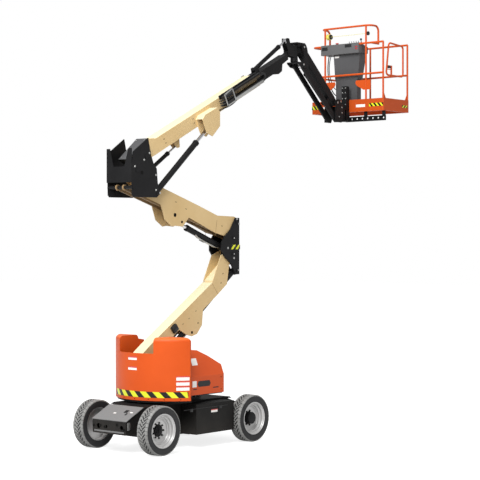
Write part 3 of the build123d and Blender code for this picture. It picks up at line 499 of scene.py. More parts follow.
def deckFinish():
    # orange powder coat, with the floor left as bare chequer plate
    material, tree, place = newFinish("deckCoatAndChequerPlate")
    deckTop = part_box("platform_deck")[1].z
    apart = addNode(tree, "ShaderNodeSeparateXYZ", None, {0: (place, "Object")})
    facing = addNode(tree, "ShaderNodeSeparateXYZ", None, {0: (place, "Normal")})
    below = addMath(tree, "LESS_THAN", (apart, "Z"), deckTop - 0.1)
    upward = addMath(tree, "GREATER_THAN", (facing, "Z"), 0.5)
    floorPart = addMath(tree, "MULTIPLY", (below, 0), (upward, 0))
    drift = addNoise(tree, place, 2.2, 4.0)
    orange = addMix(tree, (drift, 0), toLinear("#BE4B17"), toLinear("#CA531A"))
    # raised bars 25 mm apart, crossing at 45 degrees
    turned = addNode(tree, "ShaderNodeMapping", None, {
        "Vector": (place, "Object"), "Rotation": (0, 0, radians(45)), "Scale": (40, 40, 40),
    })
    bars = addNode(tree, "ShaderNodeTexChecker", None, {"Vector": (turned, 0), "Scale": 1.0})
    plate = addMix(tree, (bars, "Fac"), toLinear("#77746F"), toLinear("#9A9791"))
    colour = addMix(tree, (floorPart, 0), (orange, 2), (plate, 2))
    speck = addNoise(tree, place, 45.0, 5.0)
    gloss = addRange(tree, (speck, 0), low=0.3, high=0.55)
    relief = addMath(tree, "MULTIPLY", (bars, "Fac"), (floorPart, 0))
    bump = addNode(
        tree, "ShaderNodeBump", None, {"Height": (relief, 0), "Strength": 0.5, "Distance": 0.002},
    )
    addCoat(tree, colour, gloss, bump, **{"Metallic": 0.0, "Specular IOR Level": 0.25})
    return material


# which finish each CAD node takes; the rest are black coat
finishOf = {
    "tail_hood": orangePaint, "side_hoods": orangeCover, "steer_cover": greyDeckPaint,
    "batteries": greyShellAndCapReflection, "counterweight": castBlack, "lower_boom": creamEnamel,
    "mid_boom": creamEnamel, "main_boom": creamEnamel, "mid_link": tanLinkShadeAndJoints,
    "platform_deck": deckFinish(), "platform_rails": orangePaint, "platform_gate": orangePaint,
    "control_console": greyShellAndCapReflection, "hose_carrier": blackMoulding,
}
for name in (
    "chassis_frame", "battery_boxes", "steer_axle", "drive_axle", "tie_rod", "steer_knuckle_near",
    "steer_knuckle_far",
):
    finishOf[name] = chassisCoat
for name, node in frame["nodes"].items():
    if name.endswith("_rim"):
        material = wheelSilver
    elif name.endswith("_tyre"):
        material = rubberSide
    elif name.endswith("_rod") and name != "tie_rod":
        material = chromePlate
    else:
        material = finishOf.get(name, blackCoat)
    if not node.material_slots:
        node.data.materials.append(material)
    for slot in node.material_slots:
        slot.link = "OBJECT"
        slot.material = material
print("finishes assigned")


# shared helpers for the detail pieces
def joinParts(name, body, parts, replaced=(), sharp=32):
    # several meshes, each with its own finish, become one piece on one body
    whole = bmesh.new()
    data = bpy.data.meshes.new(name)
    for index, (mesh, material) in enumerate(parts):
        part = mesh if isinstance(mesh, bpy.types.Mesh) else asMesh(mesh, name + "Part")
        for polygon in part.polygons:
            polygon.material_index = index
        whole.from_mesh(part)
        bpy.data.meshes.remove(part)
        data.materials.append(material)
    for edge in whole.edges:
        edge.smooth = len(edge.link_faces) == 2 and edge.calc_face_angle(0) < radians(sharp)
    for face in whole.faces:
        face.smooth = True
    whole.to_mesh(data)
    whole.free()
    piece = rawPiece(name, data)
    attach(piece, body)
    if replaced:
        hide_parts(*replaced)


def addSkin(mesh, mapping, corners, across=1, up=1, thick=0.0015):
    # a thin plate laid on a surface; mapping turns (u, v, lift) into a point
    (u0, v0), (u1, v1), (u2, v2), (u3, v3) = corners
    rows = []
    for lift in (0.0003, thick):
        grid = []
        for j in range(up + 1):
            t = j / up
            a = (u0 + (u3 - u0) * t, v0 + (v3 - v0) * t)
            b = (u1 + (u2 - u1) * t, v1 + (v2 - v1) * t)
            row = [
                (a[0] + (b[0] - a[0]) * i / across, a[1] + (b[1] - a[1]) * i / across)
                for i in range(across + 1)
            ]
            grid.append([mesh.verts.new(mapping(u, v, lift)) for u, v in row])
        rows.append(grid)
    corners = []
    low, high = rows
    for j in range(up):
        for i in range(across):
            corners.append((high[j][i], high[j][i + 1], high[j + 1][i + 1], high[j + 1][i]))
            corners.append((low[j][i], low[j + 1][i], low[j + 1][i + 1], low[j][i + 1]))
    for j in range(up):
        corners.append((low[j][0], high[j][0], high[j + 1][0], low[j + 1][0]))
        corners.append((low[j][across], low[j + 1][across], high[j + 1][across], high[j][across]))
    for i in range(across):
        corners.append((low[0][i], low[0][i + 1], high[0][i + 1], high[0][i]))
        corners.append((low[up][i], high[up][i], high[up][i + 1], low[up][i + 1]))
    addFaces(mesh, corners)


def addLabels(mesh, mapping, *boxes):
    # plain plates, each given as (u0, v0, u1, v1)
    for box in boxes:
        addSkin(mesh, mapping, rect(*box))


def addStripes(bright, dark, mapping, start, end, low, high, pitch, lean, across=1, thick=0.0015):
    # slanted bars, clipped square at both ends
    count = int((end - start + abs(lean)) / (pitch / 2)) + 3
    first = start - max(lean, 0) - pitch
    for i in range(count + 2):
        left = first + i * pitch / 2
        right = left + pitch / 2
        edges = [min(max(u, start), end) for u in (left, right, right + lean, left + lean)]
        if max(edges[1] - edges[0], edges[2] - edges[3]) > 1e-6:
            addSkin(
                bright if i % 2 else dark, mapping, list(zip(edges, (low, low, high, high))), across, 2,
                thick,
            )


def newTree(name, inputs):
    # a geometry tree with named inputs, and its input node
    tree = bpy.data.node_groups.new(name, "GeometryNodeTree")
    tree.interface.new_socket("Geometry", in_out="INPUT", socket_type="NodeSocketGeometry")
    for title, kind in inputs.items():
        tree.interface.new_socket(title, in_out="INPUT", socket_type="NodeSocket" + kind)
    tree.interface.new_socket("Geometry", in_out="OUTPUT", socket_type="NodeSocketGeometry")
    return tree, addNode(tree, "NodeGroupInput")


def closeTree(tree, given, geometry):
    # every tree ends as real faces in one finish
    real = addNode(tree, "GeometryNodeRealizeInstances", None, {"Geometry": geometry})
    painted = addNode(
        tree, "GeometryNodeSetMaterial", None, {"Geometry": (real, 0), "Material": (given, "Finish")},
    )
    addNode(tree, "NodeGroupOutput", None, {"Geometry": (painted, 0)})
    return tree


def blockTree(name):
    # turns copies of a mesh round the Y axis, then moves them to a centre
    tree, given = newTree(
        name, {"Count": "Int", "Shift": "Float", "Centre": "Vector", "Finish": "Material"},
    )
    points = addNode(tree, "GeometryNodePoints", None, {"Count": (given, "Count")})
    index = addNode(tree, "GeometryNodeInputIndex")
    part = addMath(tree, "DIVIDE", (index, 0), (given, "Count"))
    moved = addMath(tree, "ADD", (part, 0), (given, "Shift"))
    angle = addMath(tree, "MULTIPLY", (moved, 0), 2 * pi)
    turn = addNode(tree, "ShaderNodeCombineXYZ", None, {"Y": (angle, 0)})
    copies = addNode(tree, "GeometryNodeInstanceOnPoints", None, {
        "Points": (points, 0), "Instance": (given, "Geometry"), "Rotation": (turn, 0),
    })
    placed = addNode(
        tree, "GeometryNodeTransform", None,
        {"Geometry": (copies, 0), "Translation": (given, "Centre")},
    )
    return closeTree(tree, given, (placed, 0))


def boltTree(name):
    # a head on every point, turned to the point's aim, sized by its size and spun at random
    tree, given = newTree(name, {"Head": "Object", "Seed": "Int", "Finish": "Material"})
    head = addNode(tree, "GeometryNodeObjectInfo", None, {"Object": (given, "Head")})
    aim = addNode(tree, "GeometryNodeInputNamedAttribute", {"data_type": "FLOAT_VECTOR"}, {"Name": "aim"})
    size = addNode(tree, "GeometryNodeInputNamedAttribute", {"data_type": "FLOAT"}, {"Name": "size"})
    spin = addNode(
        tree, "FunctionNodeRandomValue", {"data_type": "FLOAT"},
        {2: 0.0, 3: pi / 3, "Seed": (given, "Seed")},
    )
    local = addNode(tree, "ShaderNodeCombineXYZ", None, {"Z": (spin, 1)})
    first = addNode(tree, "FunctionNodeAlignRotationToVector", {"axis": "Z"}, {"Vector": (aim, 0)})
    turned = addNode(tree, "FunctionNodeRotateRotation", {"rotation_space": "LOCAL"}, {
        "Rotation": (first, 0), "Rotate By": (local, 0),
    })
    copies = addNode(tree, "GeometryNodeInstanceOnPoints", None, {
        "Points": (given, "Geometry"), "Instance": (head, "Geometry"), "Rotation": (turned, 0),
        "Scale": (size, 0),
    })
    return closeTree(tree, given, (copies, 0))


def rowTree(name):
    # one part on every point, unturned
    tree, given = newTree(name, {"Part": "Object", "Finish": "Material"})
    part = addNode(tree, "GeometryNodeObjectInfo", None, {"Object": (given, "Part")})
    copies = addNode(tree, "GeometryNodeInstanceOnPoints", None, {
        "Points": (given, "Geometry"), "Instance": (part, "Geometry"),
    })
    return closeTree(tree, given, (copies, 0))


ringTree = blockTree("blocksRoundAxle")
fixingTree = boltTree("boltHeads")
lineTree = rowTree("partsInRow")

# one hex head with its washer; a bolt's size scales both
boltLook = {"radius": 0.010, "height": 0.008, "washer": 0.014, "washerHeight": 0.002, "seed": 7}


def boltHeadMesh():
    radius, height = boltLook["radius"], boltLook["height"]
    washer, step = boltLook["washer"], boltLook["washerHeight"]
    mesh = bmesh.new()
    addTurned(mesh, [(0, 0), (washer, 0), (washer, step), (radius * 0.9, step)], (0, 0, 0), (0, 0, 1), 20)
    addTurned(
        mesh, [(radius, 0.001), (radius, height - 0.0015), (radius * 0.82, height), (0, height)],
        (0, 0, 0), (0, 0, 1), 6,
    )
    return asMesh(mesh, "boltHead")


boltHead = rawPiece("boltHead", boltHeadMesh())


def boltField(name, spots, material):
    # spots: (place, aim, size); gives mesh and finish, as joinParts takes them
    data = bpy.data.meshes.new(name)
    data.from_pydata([tuple(Vector(place)) for place, aim, size in spots], [], [])
    for title, kind in (("aim", "FLOAT_VECTOR"), ("size", "FLOAT")):
        data.attributes.new(title, kind, "POINT")
    for i, (place, aim, size) in enumerate(spots):
        data.attributes["aim"].data[i].vector = Vector(aim).normalized()
        data.attributes["size"].data[i].value = size
    values = {"Head": boltHead, "Seed": boltLook["seed"], "Finish": material}
    return bakeTree(rawPiece(name, data), fixingTree, values), material


def rowOf(name, mesh, places, material):
    # mesh is one part about the origin
    part = rawPiece(name + "Part", asMesh(mesh, name + "Part"))
    points = bpy.data.meshes.new(name)
    points.from_pydata([tuple(place) for place in places], [], [])
    baked = bakeTree(rawPiece(name, points), lineTree, {"Part": part, "Finish": material})
    bpy.data.objects.remove(part)
    return baked


def addHose(name, body, route, diameter, material=None):
    # one smooth curve through given points, capped at both ends
    route = [Vector(place) for place in route]
    curve = bpy.data.curves.new(name, "CURVE")
    curve.dimensions = "3D"
    spline = curve.splines.new("NURBS")
    spline.points.add(len(route) - 1)
    for point, place in zip(spline.points, route):
        point.co = (*place, 1)
    spline.order_u = 3
    spline.use_endpoint_u = True
    spline.resolution_u = 8
    curve.resolution_u = 8
    curve.bevel_resolution = 3
    curve.use_fill_caps = True
    curve.bevel_depth = diameter / 2
    curve.materials.append(material or hoseRubber)
    piece = rawPiece(name, curve)
    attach(piece, body)


def onFrame(place, half, sign):
    # maps (along, up, lift) onto the flat side of a boom; sign is -1 near, 1 far
    return lambda u, v, lift: place @ Vector((u, sign * (half + lift), v))


def flatSide(y, sign):
    # maps machine (x, z) onto an upright face at y
    return lambda u, v, lift: Vector((u, y + sign * lift, v))


def flatEnd(x, sign):
    # maps machine (y, z) onto an upright face at x
    return lambda u, v, lift: Vector((x + sign * lift, u, v))


def rect(u0, v0, u1, v1):
    return [(u0, v0), (u1, v0), (u1, v1), (u0, v1)]


def boltsBothSides(spots, y, size):
    # spots: (x, z) on both upright faces at +y and -y
    return [((x, sign * y, z), (0, sign, 0), size) for x, z in spots for sign in (-1, 1)]


def meshes(count):
    return [bmesh.new() for _ in range(count)]


def boomFrame(joint, degrees):
    # stands on a boom's foot pin, x along the boom as it is posed at rest
    return frameAt(pin[joint], (cos(radians(degrees)), 0, sin(radians(degrees))))


lowerBoom = boomFrame("tower_lower_lift", 37.7)
midBoom = boomFrame("tower_mid_lift", 162.7)
mainBoom = boomFrame("main_lift", 26.5)
print("helpers ready")


# wheels
tyreLook = {
    "radius": 0.3555, "tread": 0.343, "width": 0.2, "bead": 0.246, "sink": 0.003, "arms": 38,
    "armWidth": 0.019, "blocks": 38, "gap": 0.0055, "skew": 0.3, "shoulder": 0.086, "fall": 0.5,
    "taper": 0.8,
}
# the arms' line as (round, across), the blocks' as (radius, across)
armLine = [(-0.016, -0.002), (-0.004, 0.014), (0.014, 0.032), (0.036, 0.05), (0.05, 0.06)]
blockLine = [
    (tyreLook["tread"] - tyreLook["sink"], 0.06), (tyreLook["radius"] - 0.0008, 0.0615),
    (tyreLook["radius"] - 0.0012, 0.084), (tyreLook["radius"] - 0.006, 0.0945), (0.338, 0.0994),
    (0.3355, 0.0996), (0.3355, 0.09),
]
# (radius, depth below the tyre's face), from the bead out to the tread
wallLine = [
    (tyreLook["bead"] - 0.004, 0.016), (tyreLook["bead"] + 0.002, 0.006),
    (tyreLook["bead"] + 0.012, 0.0015), (0.262, 0.003), (0.266, 0.0012), (0.325, 0.0004),
    (0.334, 0.001), (0.336, 0.004), (tyreLook["tread"], 0.012),
]
# rolled lip, stepped barrel and a dished disc, as (radius, depth below the tyre's face)
rimLine = [
    (0.2455, 0.010), (0.2455, 0.0035), (0.241, 0.0008), (0.236, 0.0018), (0.2325, 0.007),
    (0.2315, 0.018), (0.222, 0.026), (0.2195, 0.034), (0.2195, 0.066), (0.2145, 0.072), (0.2045, 0.074),
    (0.2, 0.079), (0.2, 0.104), (0.194, 0.112), (0.176, 0.116), (0.168, 0.1135), (0.158, 0.1135),
    (0.15, 0.118), (0.06, 0.118), (0.06, 0.13), (0.222, 0.13), (0.2285, 0.14), (0.2285, 0.184),
    (0.2455, 0.188), (0.2455, 0.184), (0.236, 0.03), (0.2455, 0.010),
]
rimLook = {"disc": 0.118, "studs": 9, "studRing": 0.108, "studTurn": 0.2, "nuts": 6, "nutRing": 0.064}
# hubs, as (radius, height above the disc)
driveHub = [
    (0, 0.073), (0.07, 0.073), (0.086, 0.069), (0.0895, 0.06), (0.0895, 0.004), (0.1, 0.001),
    (0.1, -0.01), (0, -0.01),
]
drivePlug = [(0, 0.0745), (0.012, 0.0745), (0.014, 0.071)]
steerHub = [
    (0, 0.05), (0.028, 0.05), (0.034, 0.046), (0.036, 0.03), (0.052, 0.026), (0.056, 0.018),
    (0.074, 0.014), (0.0745, 0.002), (0.092, 0.001), (0.092, -0.008), (0, -0.008),
]
# side of the machine, and whether it is driven
wheelSpots = {
    "steer_near": (-1, False), "steer_far": (1, False), "drive_near": (-1, True),
    "drive_far": (1, True),
}


def addStrip(mesh, path, width, low, high):
    # a bar bent round the tyre; path holds (round, across) in metres
    rows = []
    for i, (u, v) in enumerate(path):
        a = path[max(i - 1, 0)]
        b = path[min(i + 1, len(path) - 1)]
        run = Vector((b[0] - a[0], b[1] - a[1])).normalized()
        side = Vector((-run.y, run.x)) * width / 2
        row = []
        for radius, scale in ((low, 1.0), (high, tyreLook["taper"])):
            for sign in (-1, 1):
                uu, vv = u + side.x * sign * scale, v + side.y * sign * scale
                angle = uu / tyreLook["radius"]
                # the top falls away towards the shoulder
                fall = max(0.0, abs(vv) - tyreLook["shoulder"]) * tyreLook["fall"]
                top = radius if radius == low else radius - fall
                row.append(mesh.verts.new((top * sin(angle), vv, top * cos(angle))))
        rows.append(row)
    first, last = rows[0], rows[-1]
    corners = [(first[0], first[1], first[3], first[2]), (last[0], last[2], last[3], last[1])]
    for a, b in zip(rows, rows[1:]):
        corners += [
            (a[2], a[3], b[3], b[2]), (a[0], a[2], b[2], b[0]), (a[1], b[1], b[3], a[3]),
            (a[0], b[0], b[1], a[1]),
        ]
    addFaces(mesh, corners)


def roundAxle(name, mesh, count, shift, centre):
    values = {"Count": count, "Shift": shift / count, "Centre": centre, "Finish": rubberTread}
    return bakeTree(rawPiece(name, asMesh(mesh, name)), ringTree, values)


def treadParts(centre):
    look = tyreLook
    parts = []
    for way, shift in ((-1, 0.0), (1, 0.5)):
        mesh = bmesh.new()
        arm = [(u, v * way) for u, v in armLine]
        addStrip(mesh, arm, look["armWidth"], look["tread"] - look["sink"], look["radius"] - 0.0005)
        parts.append(roundAxle("treadArm", mesh, look["arms"], shift, centre))
        # shoulder blocks with a narrow sipe between them
        mesh = bmesh.new()
        step = 2 * pi / look["blocks"]
        gap = look["gap"] / look["radius"]
        rings = []
        for i in range(5):
            start = gap / 2 + (step - gap) * i / 4
            turned = [(r, v, start + look["skew"] * way * (v - 0.06)) for r, v in blockLine]
            rings.append([
                mesh.verts.new((r * sin(angle), v * way, r * cos(angle)))
                for r, v, angle in turned
            ])
        addFaces(mesh, [rings[0], rings[-1]] + between(rings))
        parts.append(roundAxle("treadBlock", mesh, look["blocks"], shift, centre))
    return parts


def spotsRound(centre, axis, count, radius, height, turn=0.0):
    # places on a circle square to the axle
    angles = [2 * pi * i / count + turn for i in range(count)]
    return [centre + Vector((sin(a) * radius, 0, cos(a) * radius)) + axis * height for a in angles]


for name, (sign, driven) in wheelSpots.items():
    centre = pin[name + "_spin"]
    axis = Vector((0, sign, 0))
    half = tyreLook["width"] / 2
    carcass, barrel, hub = meshes(3)
    wall = [(r, -half + depth) for r, depth in wallLine] + [
        (r, half - depth)
        for r, depth in reversed(wallLine)
    ]
    addTurned(carcass, wall + wall[:1], centre, axis, 96)
    parts = [(carcass, rubberSide)] + [(part, rubberTread) for part in treadParts(tuple(centre))]
    joinParts(name + "TyreBody", name + "_wheel", parts, (name + "_tyre",), 40)
    addTurned(barrel, [(r, half - depth) for r, depth in rimLine], centre, axis, 72)
    nuts = []
    base = half - rimLook["disc"]
    addTurned(hub, [(r, base + up) for r, up in (driveHub if driven else steerHub)], centre, axis, 48)
    if driven:
        addTurned(hub, [(r, base + up) for r, up in drivePlug], centre, axis, 6)
    else:
        nuts += [
            (spot, axis, 0.75)
            for spot in spotsRound(centre, axis, rimLook["nuts"], rimLook["nutRing"], base + 0.015)
        ]
    for spot in spotsRound(
        centre, axis, rimLook["studs"], rimLook["studRing"], base + 0.0005, rimLook["studTurn"],
    ):
        nuts.append((spot, axis, 1.15))
        addRod(hub, spot, spot + axis * 0.024, 0.0055, 0.001, 10)
    parts = [(barrel, wheelSilver), (hub, blackCoat), boltField(name + "Studs", nuts, blackCoat)]
    joinParts(name + "RimBody", name + "_wheel", parts, (name + "_rim",), 35)
print("wheels ready")

# hoods
tailLook = {"radius": 0.860, "boltHeight": 0.758, "bolts": (150, 166, 182, 198, 214, 230), "heading": 0.019}
# the hazard band, in degrees round the slewing axis and metres up
hoodBand = {"start": 146, "end": 237.5, "low": 0.783, "high": 0.868, "pitch": 13.7, "lean": -5.5}
sideLook = {"face": 0.6, "ends": (-0.33, 0.4), "boltHeights": (0.84, 1.02)}
slewBolts = {"count": 24, "radius": 0.372, "height": 0.736}


def onTail(u, v, lift):
    # azimuth in degrees round the slewing axis, and height
    angle = radians(u)
    out = tailLook["radius"] + lift
    return Vector((slewX + out * cos(angle), out * sin(angle), v))


bright, dark, labels, heads = meshes(4)
addStripes(bright, dark, onTail, *hoodBand.values(), 6)
tailLabels = [
    # azimuth, azimuth, low, high
    (173.2, 184.8, 1.318, 1.368), (173.2, 184.8, 1.172, 1.222), (225.8, 238.6, 1.035, 1.098),
    (225.8, 238.6, 0.962, 1.025), (225.8, 238.6, 0.889, 0.952),
]
for a, b, low, high in tailLabels:
    split = high - tailLook["heading"]
    addSkin(labels, onTail, rect(a, low, b, split), 8)
    addSkin(heads, onTail, rect(a, split, b, high), 8)
joinParts(
    "hoodDecals", "turntable",
    [(bright, yellowVinyl), (dark, blackVinyl), (labels, whiteDecal), (heads, redVinyl)],
)

# bolts round the tail hood's foot; grille, marks, bolts and a handle strip on each side hood
spots = []
for azimuth in tailLook["bolts"]:
    foot = onTail(azimuth, tailLook["boltHeight"], 0.0)
    spots.append((foot, onTail(azimuth, tailLook["boltHeight"], 1.0) - foot, 0.55))
sideDecals, sideDark = meshes(2)
grille = [
    [(-0.10, 0.905), (0.14, 0.905), (0.165, 0.945), (-0.125, 0.945)],
    [(-0.125, 0.945), (0.165, 0.945), (0.14, 0.99), (-0.10, 0.99)],
]
for sign in (-1, 1):
    y = sign * sideLook["face"]
    face = flatSide(y, sign)
    for corners in grille:
        addSkin(sideDark, face, [(slewX + u, v) for u, v in corners])
    addLabels(
        sideDark, face,
        *((slewX + a, 0.868, slewX + b, 0.882) for a, b in ((0.22, 0.34), (-0.22, -0.14))),
    )
    addLabels(sideDecals, face, (slewX - 0.235, 0.905, slewX - 0.145, 0.995))
    # the side hood's sloping shoulder
    slope = lambda u, v, lift, s=sign: Vector((
        u, s * (0.6 - 0.165 * v + lift * 0.93), 1.06 + 0.415 * v + lift * 0.37,
    ))
    addLabels(sideDecals, slope, (slewX - 0.17, 0.38, slewX - 0.05, 0.62))
    for x in sideLook["ends"]:
        spots += [((slewX + x, y, z), (0, sign, 0), 0.6) for z in sideLook["boltHeights"]]
    addBox(sideDark, (slewX - 0.37, y - 0.004, 0.93), (slewX - 0.33, y + 0.004, 0.99), 0.003)
parts = [(sideDecals, whiteDecal), (sideDark, blackVinyl), boltField("hoodBolts", spots, blackCoat)]
joinParts("sideHoodDecals", "turntable", parts)

# the ring of bolts between chassis and turntable
spots = []
for i in range(slewBolts["count"]):
    angle = 2 * pi * i / slewBolts["count"]
    place = (
        slewX + slewBolts["radius"] * cos(angle), slewBolts["radius"] * sin(angle), slewBolts["height"],
    )
    spots.append((place, (0, 0, 1), 1.1))
joinParts("slewBolts", "turntable", [boltField("slewBoltHeads", spots, bareSteel)])
print("hoods ready")

# chassis: holes, bracket and beam on the steer end, marks on its cover, box label, box lids and latches
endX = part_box("chassis_frame")[0].x
holes, bracket, labels, redStrip, rims, axleBeam, coverMarks, lids = meshes(8)
# dark discs in the end plate's holes: painted shade for the insides of the holes
for y, z in ((0.307, 0.392), (0.17, 0.40), (0.085, 0.385), (-0.161, 0.430), (-0.301, 0.37)):
    addRod(holes, (endX + 0.004, y, z), (endX - 0.0015, y, z), 0.02, 0.001, 20)
    addTurned(
        rims, [(0.0205, 0), (0.025, 0), (0.025, 0.003), (0.0205, 0.003)], (endX, y, z), (-1, 0, 0), 20,
    )
addBox(bracket, (-3.205, -0.341, 0.36), (-3.15, -0.335, 0.47), 0.002)
addBox(bracket, (-3.2, -0.35, 0.36), (-3.192, -0.335, 0.47), 0.002)
addBox(axleBeam, (endX - 0.004, -0.30, 0.312), (endX + 0.01, 0.30, 0.335), 0.003)
coverFace = lambda u, v, lift: Vector((
    -3.072 + v * 0.898 - lift * 0.44, u, 0.571 + v * 0.44 + lift * 0.898,
))
addLabels(labels, coverFace, (0.02, -0.012, 0.07, 0.012), (-0.275, 0.036, -0.22, 0.06))
addLabels(coverMarks, coverFace, (-0.17, 0.03, -0.10, 0.1), (-0.2, -0.03, -0.17, 0.02))
boxFace = flatSide(-0.65, -1)
addLabels(labels, boxFace, (-1.765, 0.515, -1.625, 0.545))
addLabels(redStrip, boxFace, (-1.765, 0.545, -1.625, 0.558))
for sign in (-1, 1):
    addBox(lids, (-2.36, sign * 0.651 - 0.002, 0.592), (-1.40, sign * 0.651 + 0.002, 0.6), 0.001)
    for x in (-2.2, -1.56):
        addBox(lids, (x - 0.03, sign * 0.652 - 0.006, 0.56), (x + 0.03, sign * 0.652 + 0.006, 0.606), 0.003)
spots = [
    ((endX, sign * y, z), (-1, 0, 0), 0.5)
    for sign in (-1, 1)
    for y in (0.33, 0.24)
    for z in (0.36, 0.46)
]
joinParts(
    "chassisFittings", "chassis",
    [
        (holes, boreShadeAndWeldMarks), (bracket, bareSteel), (axleBeam, greyDeckPaint), (labels, whiteDecal),
        (redStrip, redVinyl), (rims, chassisCoat), (coverMarks, blackVinyl), (lids, blackMoulding),
        boltField("endBolts", spots, blackCoat),
    ],
)
print("chassis fittings ready")

# booms: bored holes, weld marks and joint lines, a lamp on the lower boom, wear pads at the main boom's mouth
mouth = {"end": 2.965, "side": 0.109, "heights": (-0.05, 0.08)}
boomMarks = {
    "lowerBoomMarks": {
        "body": "lower_boom", "place": lowerBoom, "half": 0.10,
        "bores": [(1.031, -0.376, 0.022), (1.222, -0.35, 0.012)],
        "dashes": [
            (1.286, -0.181, 1.31, -0.173), (1.097, -0.17, 1.121, -0.162), (0.944, -0.149, 0.968, -0.141),
            (1.99, -0.209, 2.016, -0.2), (2.117, -0.122, 2.141, -0.114),
        ],
        "joint": [(1.838, -0.29), (1.843, -0.29), (1.843, -0.075), (1.838, -0.075)],
        "lamp": [
            ((0.70, -0.150, -0.115), (0.81, -0.100, -0.01), 0.008),
            ((0.72, -0.156, -0.10), (0.79, -0.149, -0.045), 0.003),
        ],
        "pads": [((a, -0.104, 0.055), (a + 0.02, -0.1, 0.075)) for a in (0.35, 1.7)],
    },
    "midBoomMarks": {
        "body": "mid_boom", "place": midBoom, "half": 0.10,
        "bores": [(1.345, 0.318, 0.03), (1.167, 0.371, 0.02)],
        "dashes": [(1.37, 0.122, 1.394, 0.132), (1.129, 0.153, 1.153, 0.163), (0.269, 0.15, 0.293, 0.16)],
        "joint": [(0.388, 0.345), (0.393, 0.345), (0.422, 0.104), (0.417, 0.104)],
    },
    "mainBoomMarks": {
        "body": "main_boom", "place": mainBoom, "half": 0.107,
        "bores": [(1.794, -0.002, 0.011), (0.598, -0.048, 0.009)],
        "dashes": [
            (0.573, 0.018, 0.597, 0.026), (1.291, 0.031, 1.315, 0.039), (1.295, -0.037, 1.319, -0.029),
        ],
        "pads": [(
            (mouth["end"] - 0.10, sign * mouth["side"] - 0.004, v - 0.02),
            (mouth["end"] - 0.03, sign * mouth["side"] + 0.004, v + 0.02),
        ) for sign in (-1, 1) for v in mouth["heights"]],
    },
}
for name, look in boomMarks.items():
    place = look["place"]
    dark, lamp, joint, pads = meshes(4)
    for sign in (-1, 1):
        face = onFrame(place, look["half"], sign)
        # each bore is a dark disc: painted shade for the inside of the hole
        for u, v, radius in look["bores"]:
            addRod(dark, face(u, v, -0.002), face(u, v, 0.0012), radius, 0.0005, 20)
        addLabels(dark, face, *look["dashes"])
        if "joint" in look:
            addSkin(joint, face, look["joint"])
    for low, high, bevel in look.get("lamp", ()):
        addBox(lamp, low, high, bevel, place)
    for low, high in look.get("pads", ()):
        addBox(pads, low, high, 0.002, place)
    parts = [(dark, boreShadeAndWeldMarks), (lamp, blackMoulding), (joint, tanLinkShadeAndJoints), (pads, bareSteel)]
    joinParts(name, look["body"], [(mesh, material) for mesh, material in parts if mesh.verts])
print("boom marks ready")

# uprights: hazard tape, pin bolts and keeper plates
midSpots = [
    (-0.575, 3.382), (-0.527, 3.304), (-0.647, 3.086), (-0.789, 2.932), (-0.647, 2.838),
    (-0.647, 2.775), (-0.551, 2.587),
]
midFace = 0.134
midTape = {"start": -0.718, "end": -0.503, "low": 2.91, "high": 2.98, "pitch": 0.115, "lean": 0.07}
spots = boltsBothSides(midSpots, midFace, 1.25)
bright, dark = meshes(2)
for sign in (-1, 1):
    addStripes(bright, dark, flatSide(sign * midFace, sign), *midTape.values())
joinParts(
    "midUprightFittings", "mid_upright",
    [(bright, yellowVinyl), (dark, blackVinyl), boltField("midUprightBolts", spots, bareSteel)],
)
upSpots = [(-2.523, 4.007), (-2.438, 3.747), (-2.523, 3.789), (-2.96, 4.12), (-2.66, 4.32), (-2.77, 4.22)]
upFace = 0.25
spots = boltsBothSides(upSpots, upFace, 1.1)
bore, keepers = meshes(2)
for sign in (-1, 1):
    # a dark disc in the pin bore: painted shade for its inside
    addRod(
        bore, (-2.815, sign * (upFace - 0.002), 4.034), (-2.815, sign * (upFace + 0.0015), 4.034),
        0.028, 0.0005, 24,
    )
    for pivot in ("main_lift", "upper_upright_pivot"):
        x, z = pin[pivot].x, pin[pivot].z
        addTurned(
            keepers, [(0, 0), (0.03, 0), (0.03, 0.004), (0.026, 0.006), (0, 0.006)],
            (x, sign * upFace, z), (0, sign, 0), 24,
        )
joinParts(
    "upperUprightFittings", "upper_upright",
    [(bore, boreShadeAndWeldMarks), (keepers, bareSteel), boltField("upperUprightBolts", spots, bareSteel)],
)
print("uprights ready")

# steel lines and two valve blocks on the mid ram
rodLow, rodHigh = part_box("mid_ram_rod")
ramAim = (rodLow + rodHigh) / 2 - pin["mid_ram_base"]
ram = frameAt(pin["mid_ram_base"], (ramAim.x, 0, ramAim.z))
block, lines = meshes(2)
addBox(block, (0.40, -0.035, 0.03), (0.50, 0.03, 0.07), 0.005, ram)
addBox(block, (0.26, -0.03, 0.03), (0.32, 0.03, 0.06), 0.005, ram)
for i in range(4):
    side = -0.042 + 0.014 * i
    route = (
        0.10, side * 0.6, 0.045,
    ), (0.18, side, 0.062), (0.44, side, 0.068), (0.60, side * 0.9, 0.062), (0.66, side * 0.6, 0.036)
    addSweep(lines, rounded([ram @ Vector(p) for p in route], 0.04), 0.0045, 8)
joinParts("midRamLines", "mid_ram_barrel", [(block, castBlack), (lines, bareSteel)])
print("mid ram lines ready")

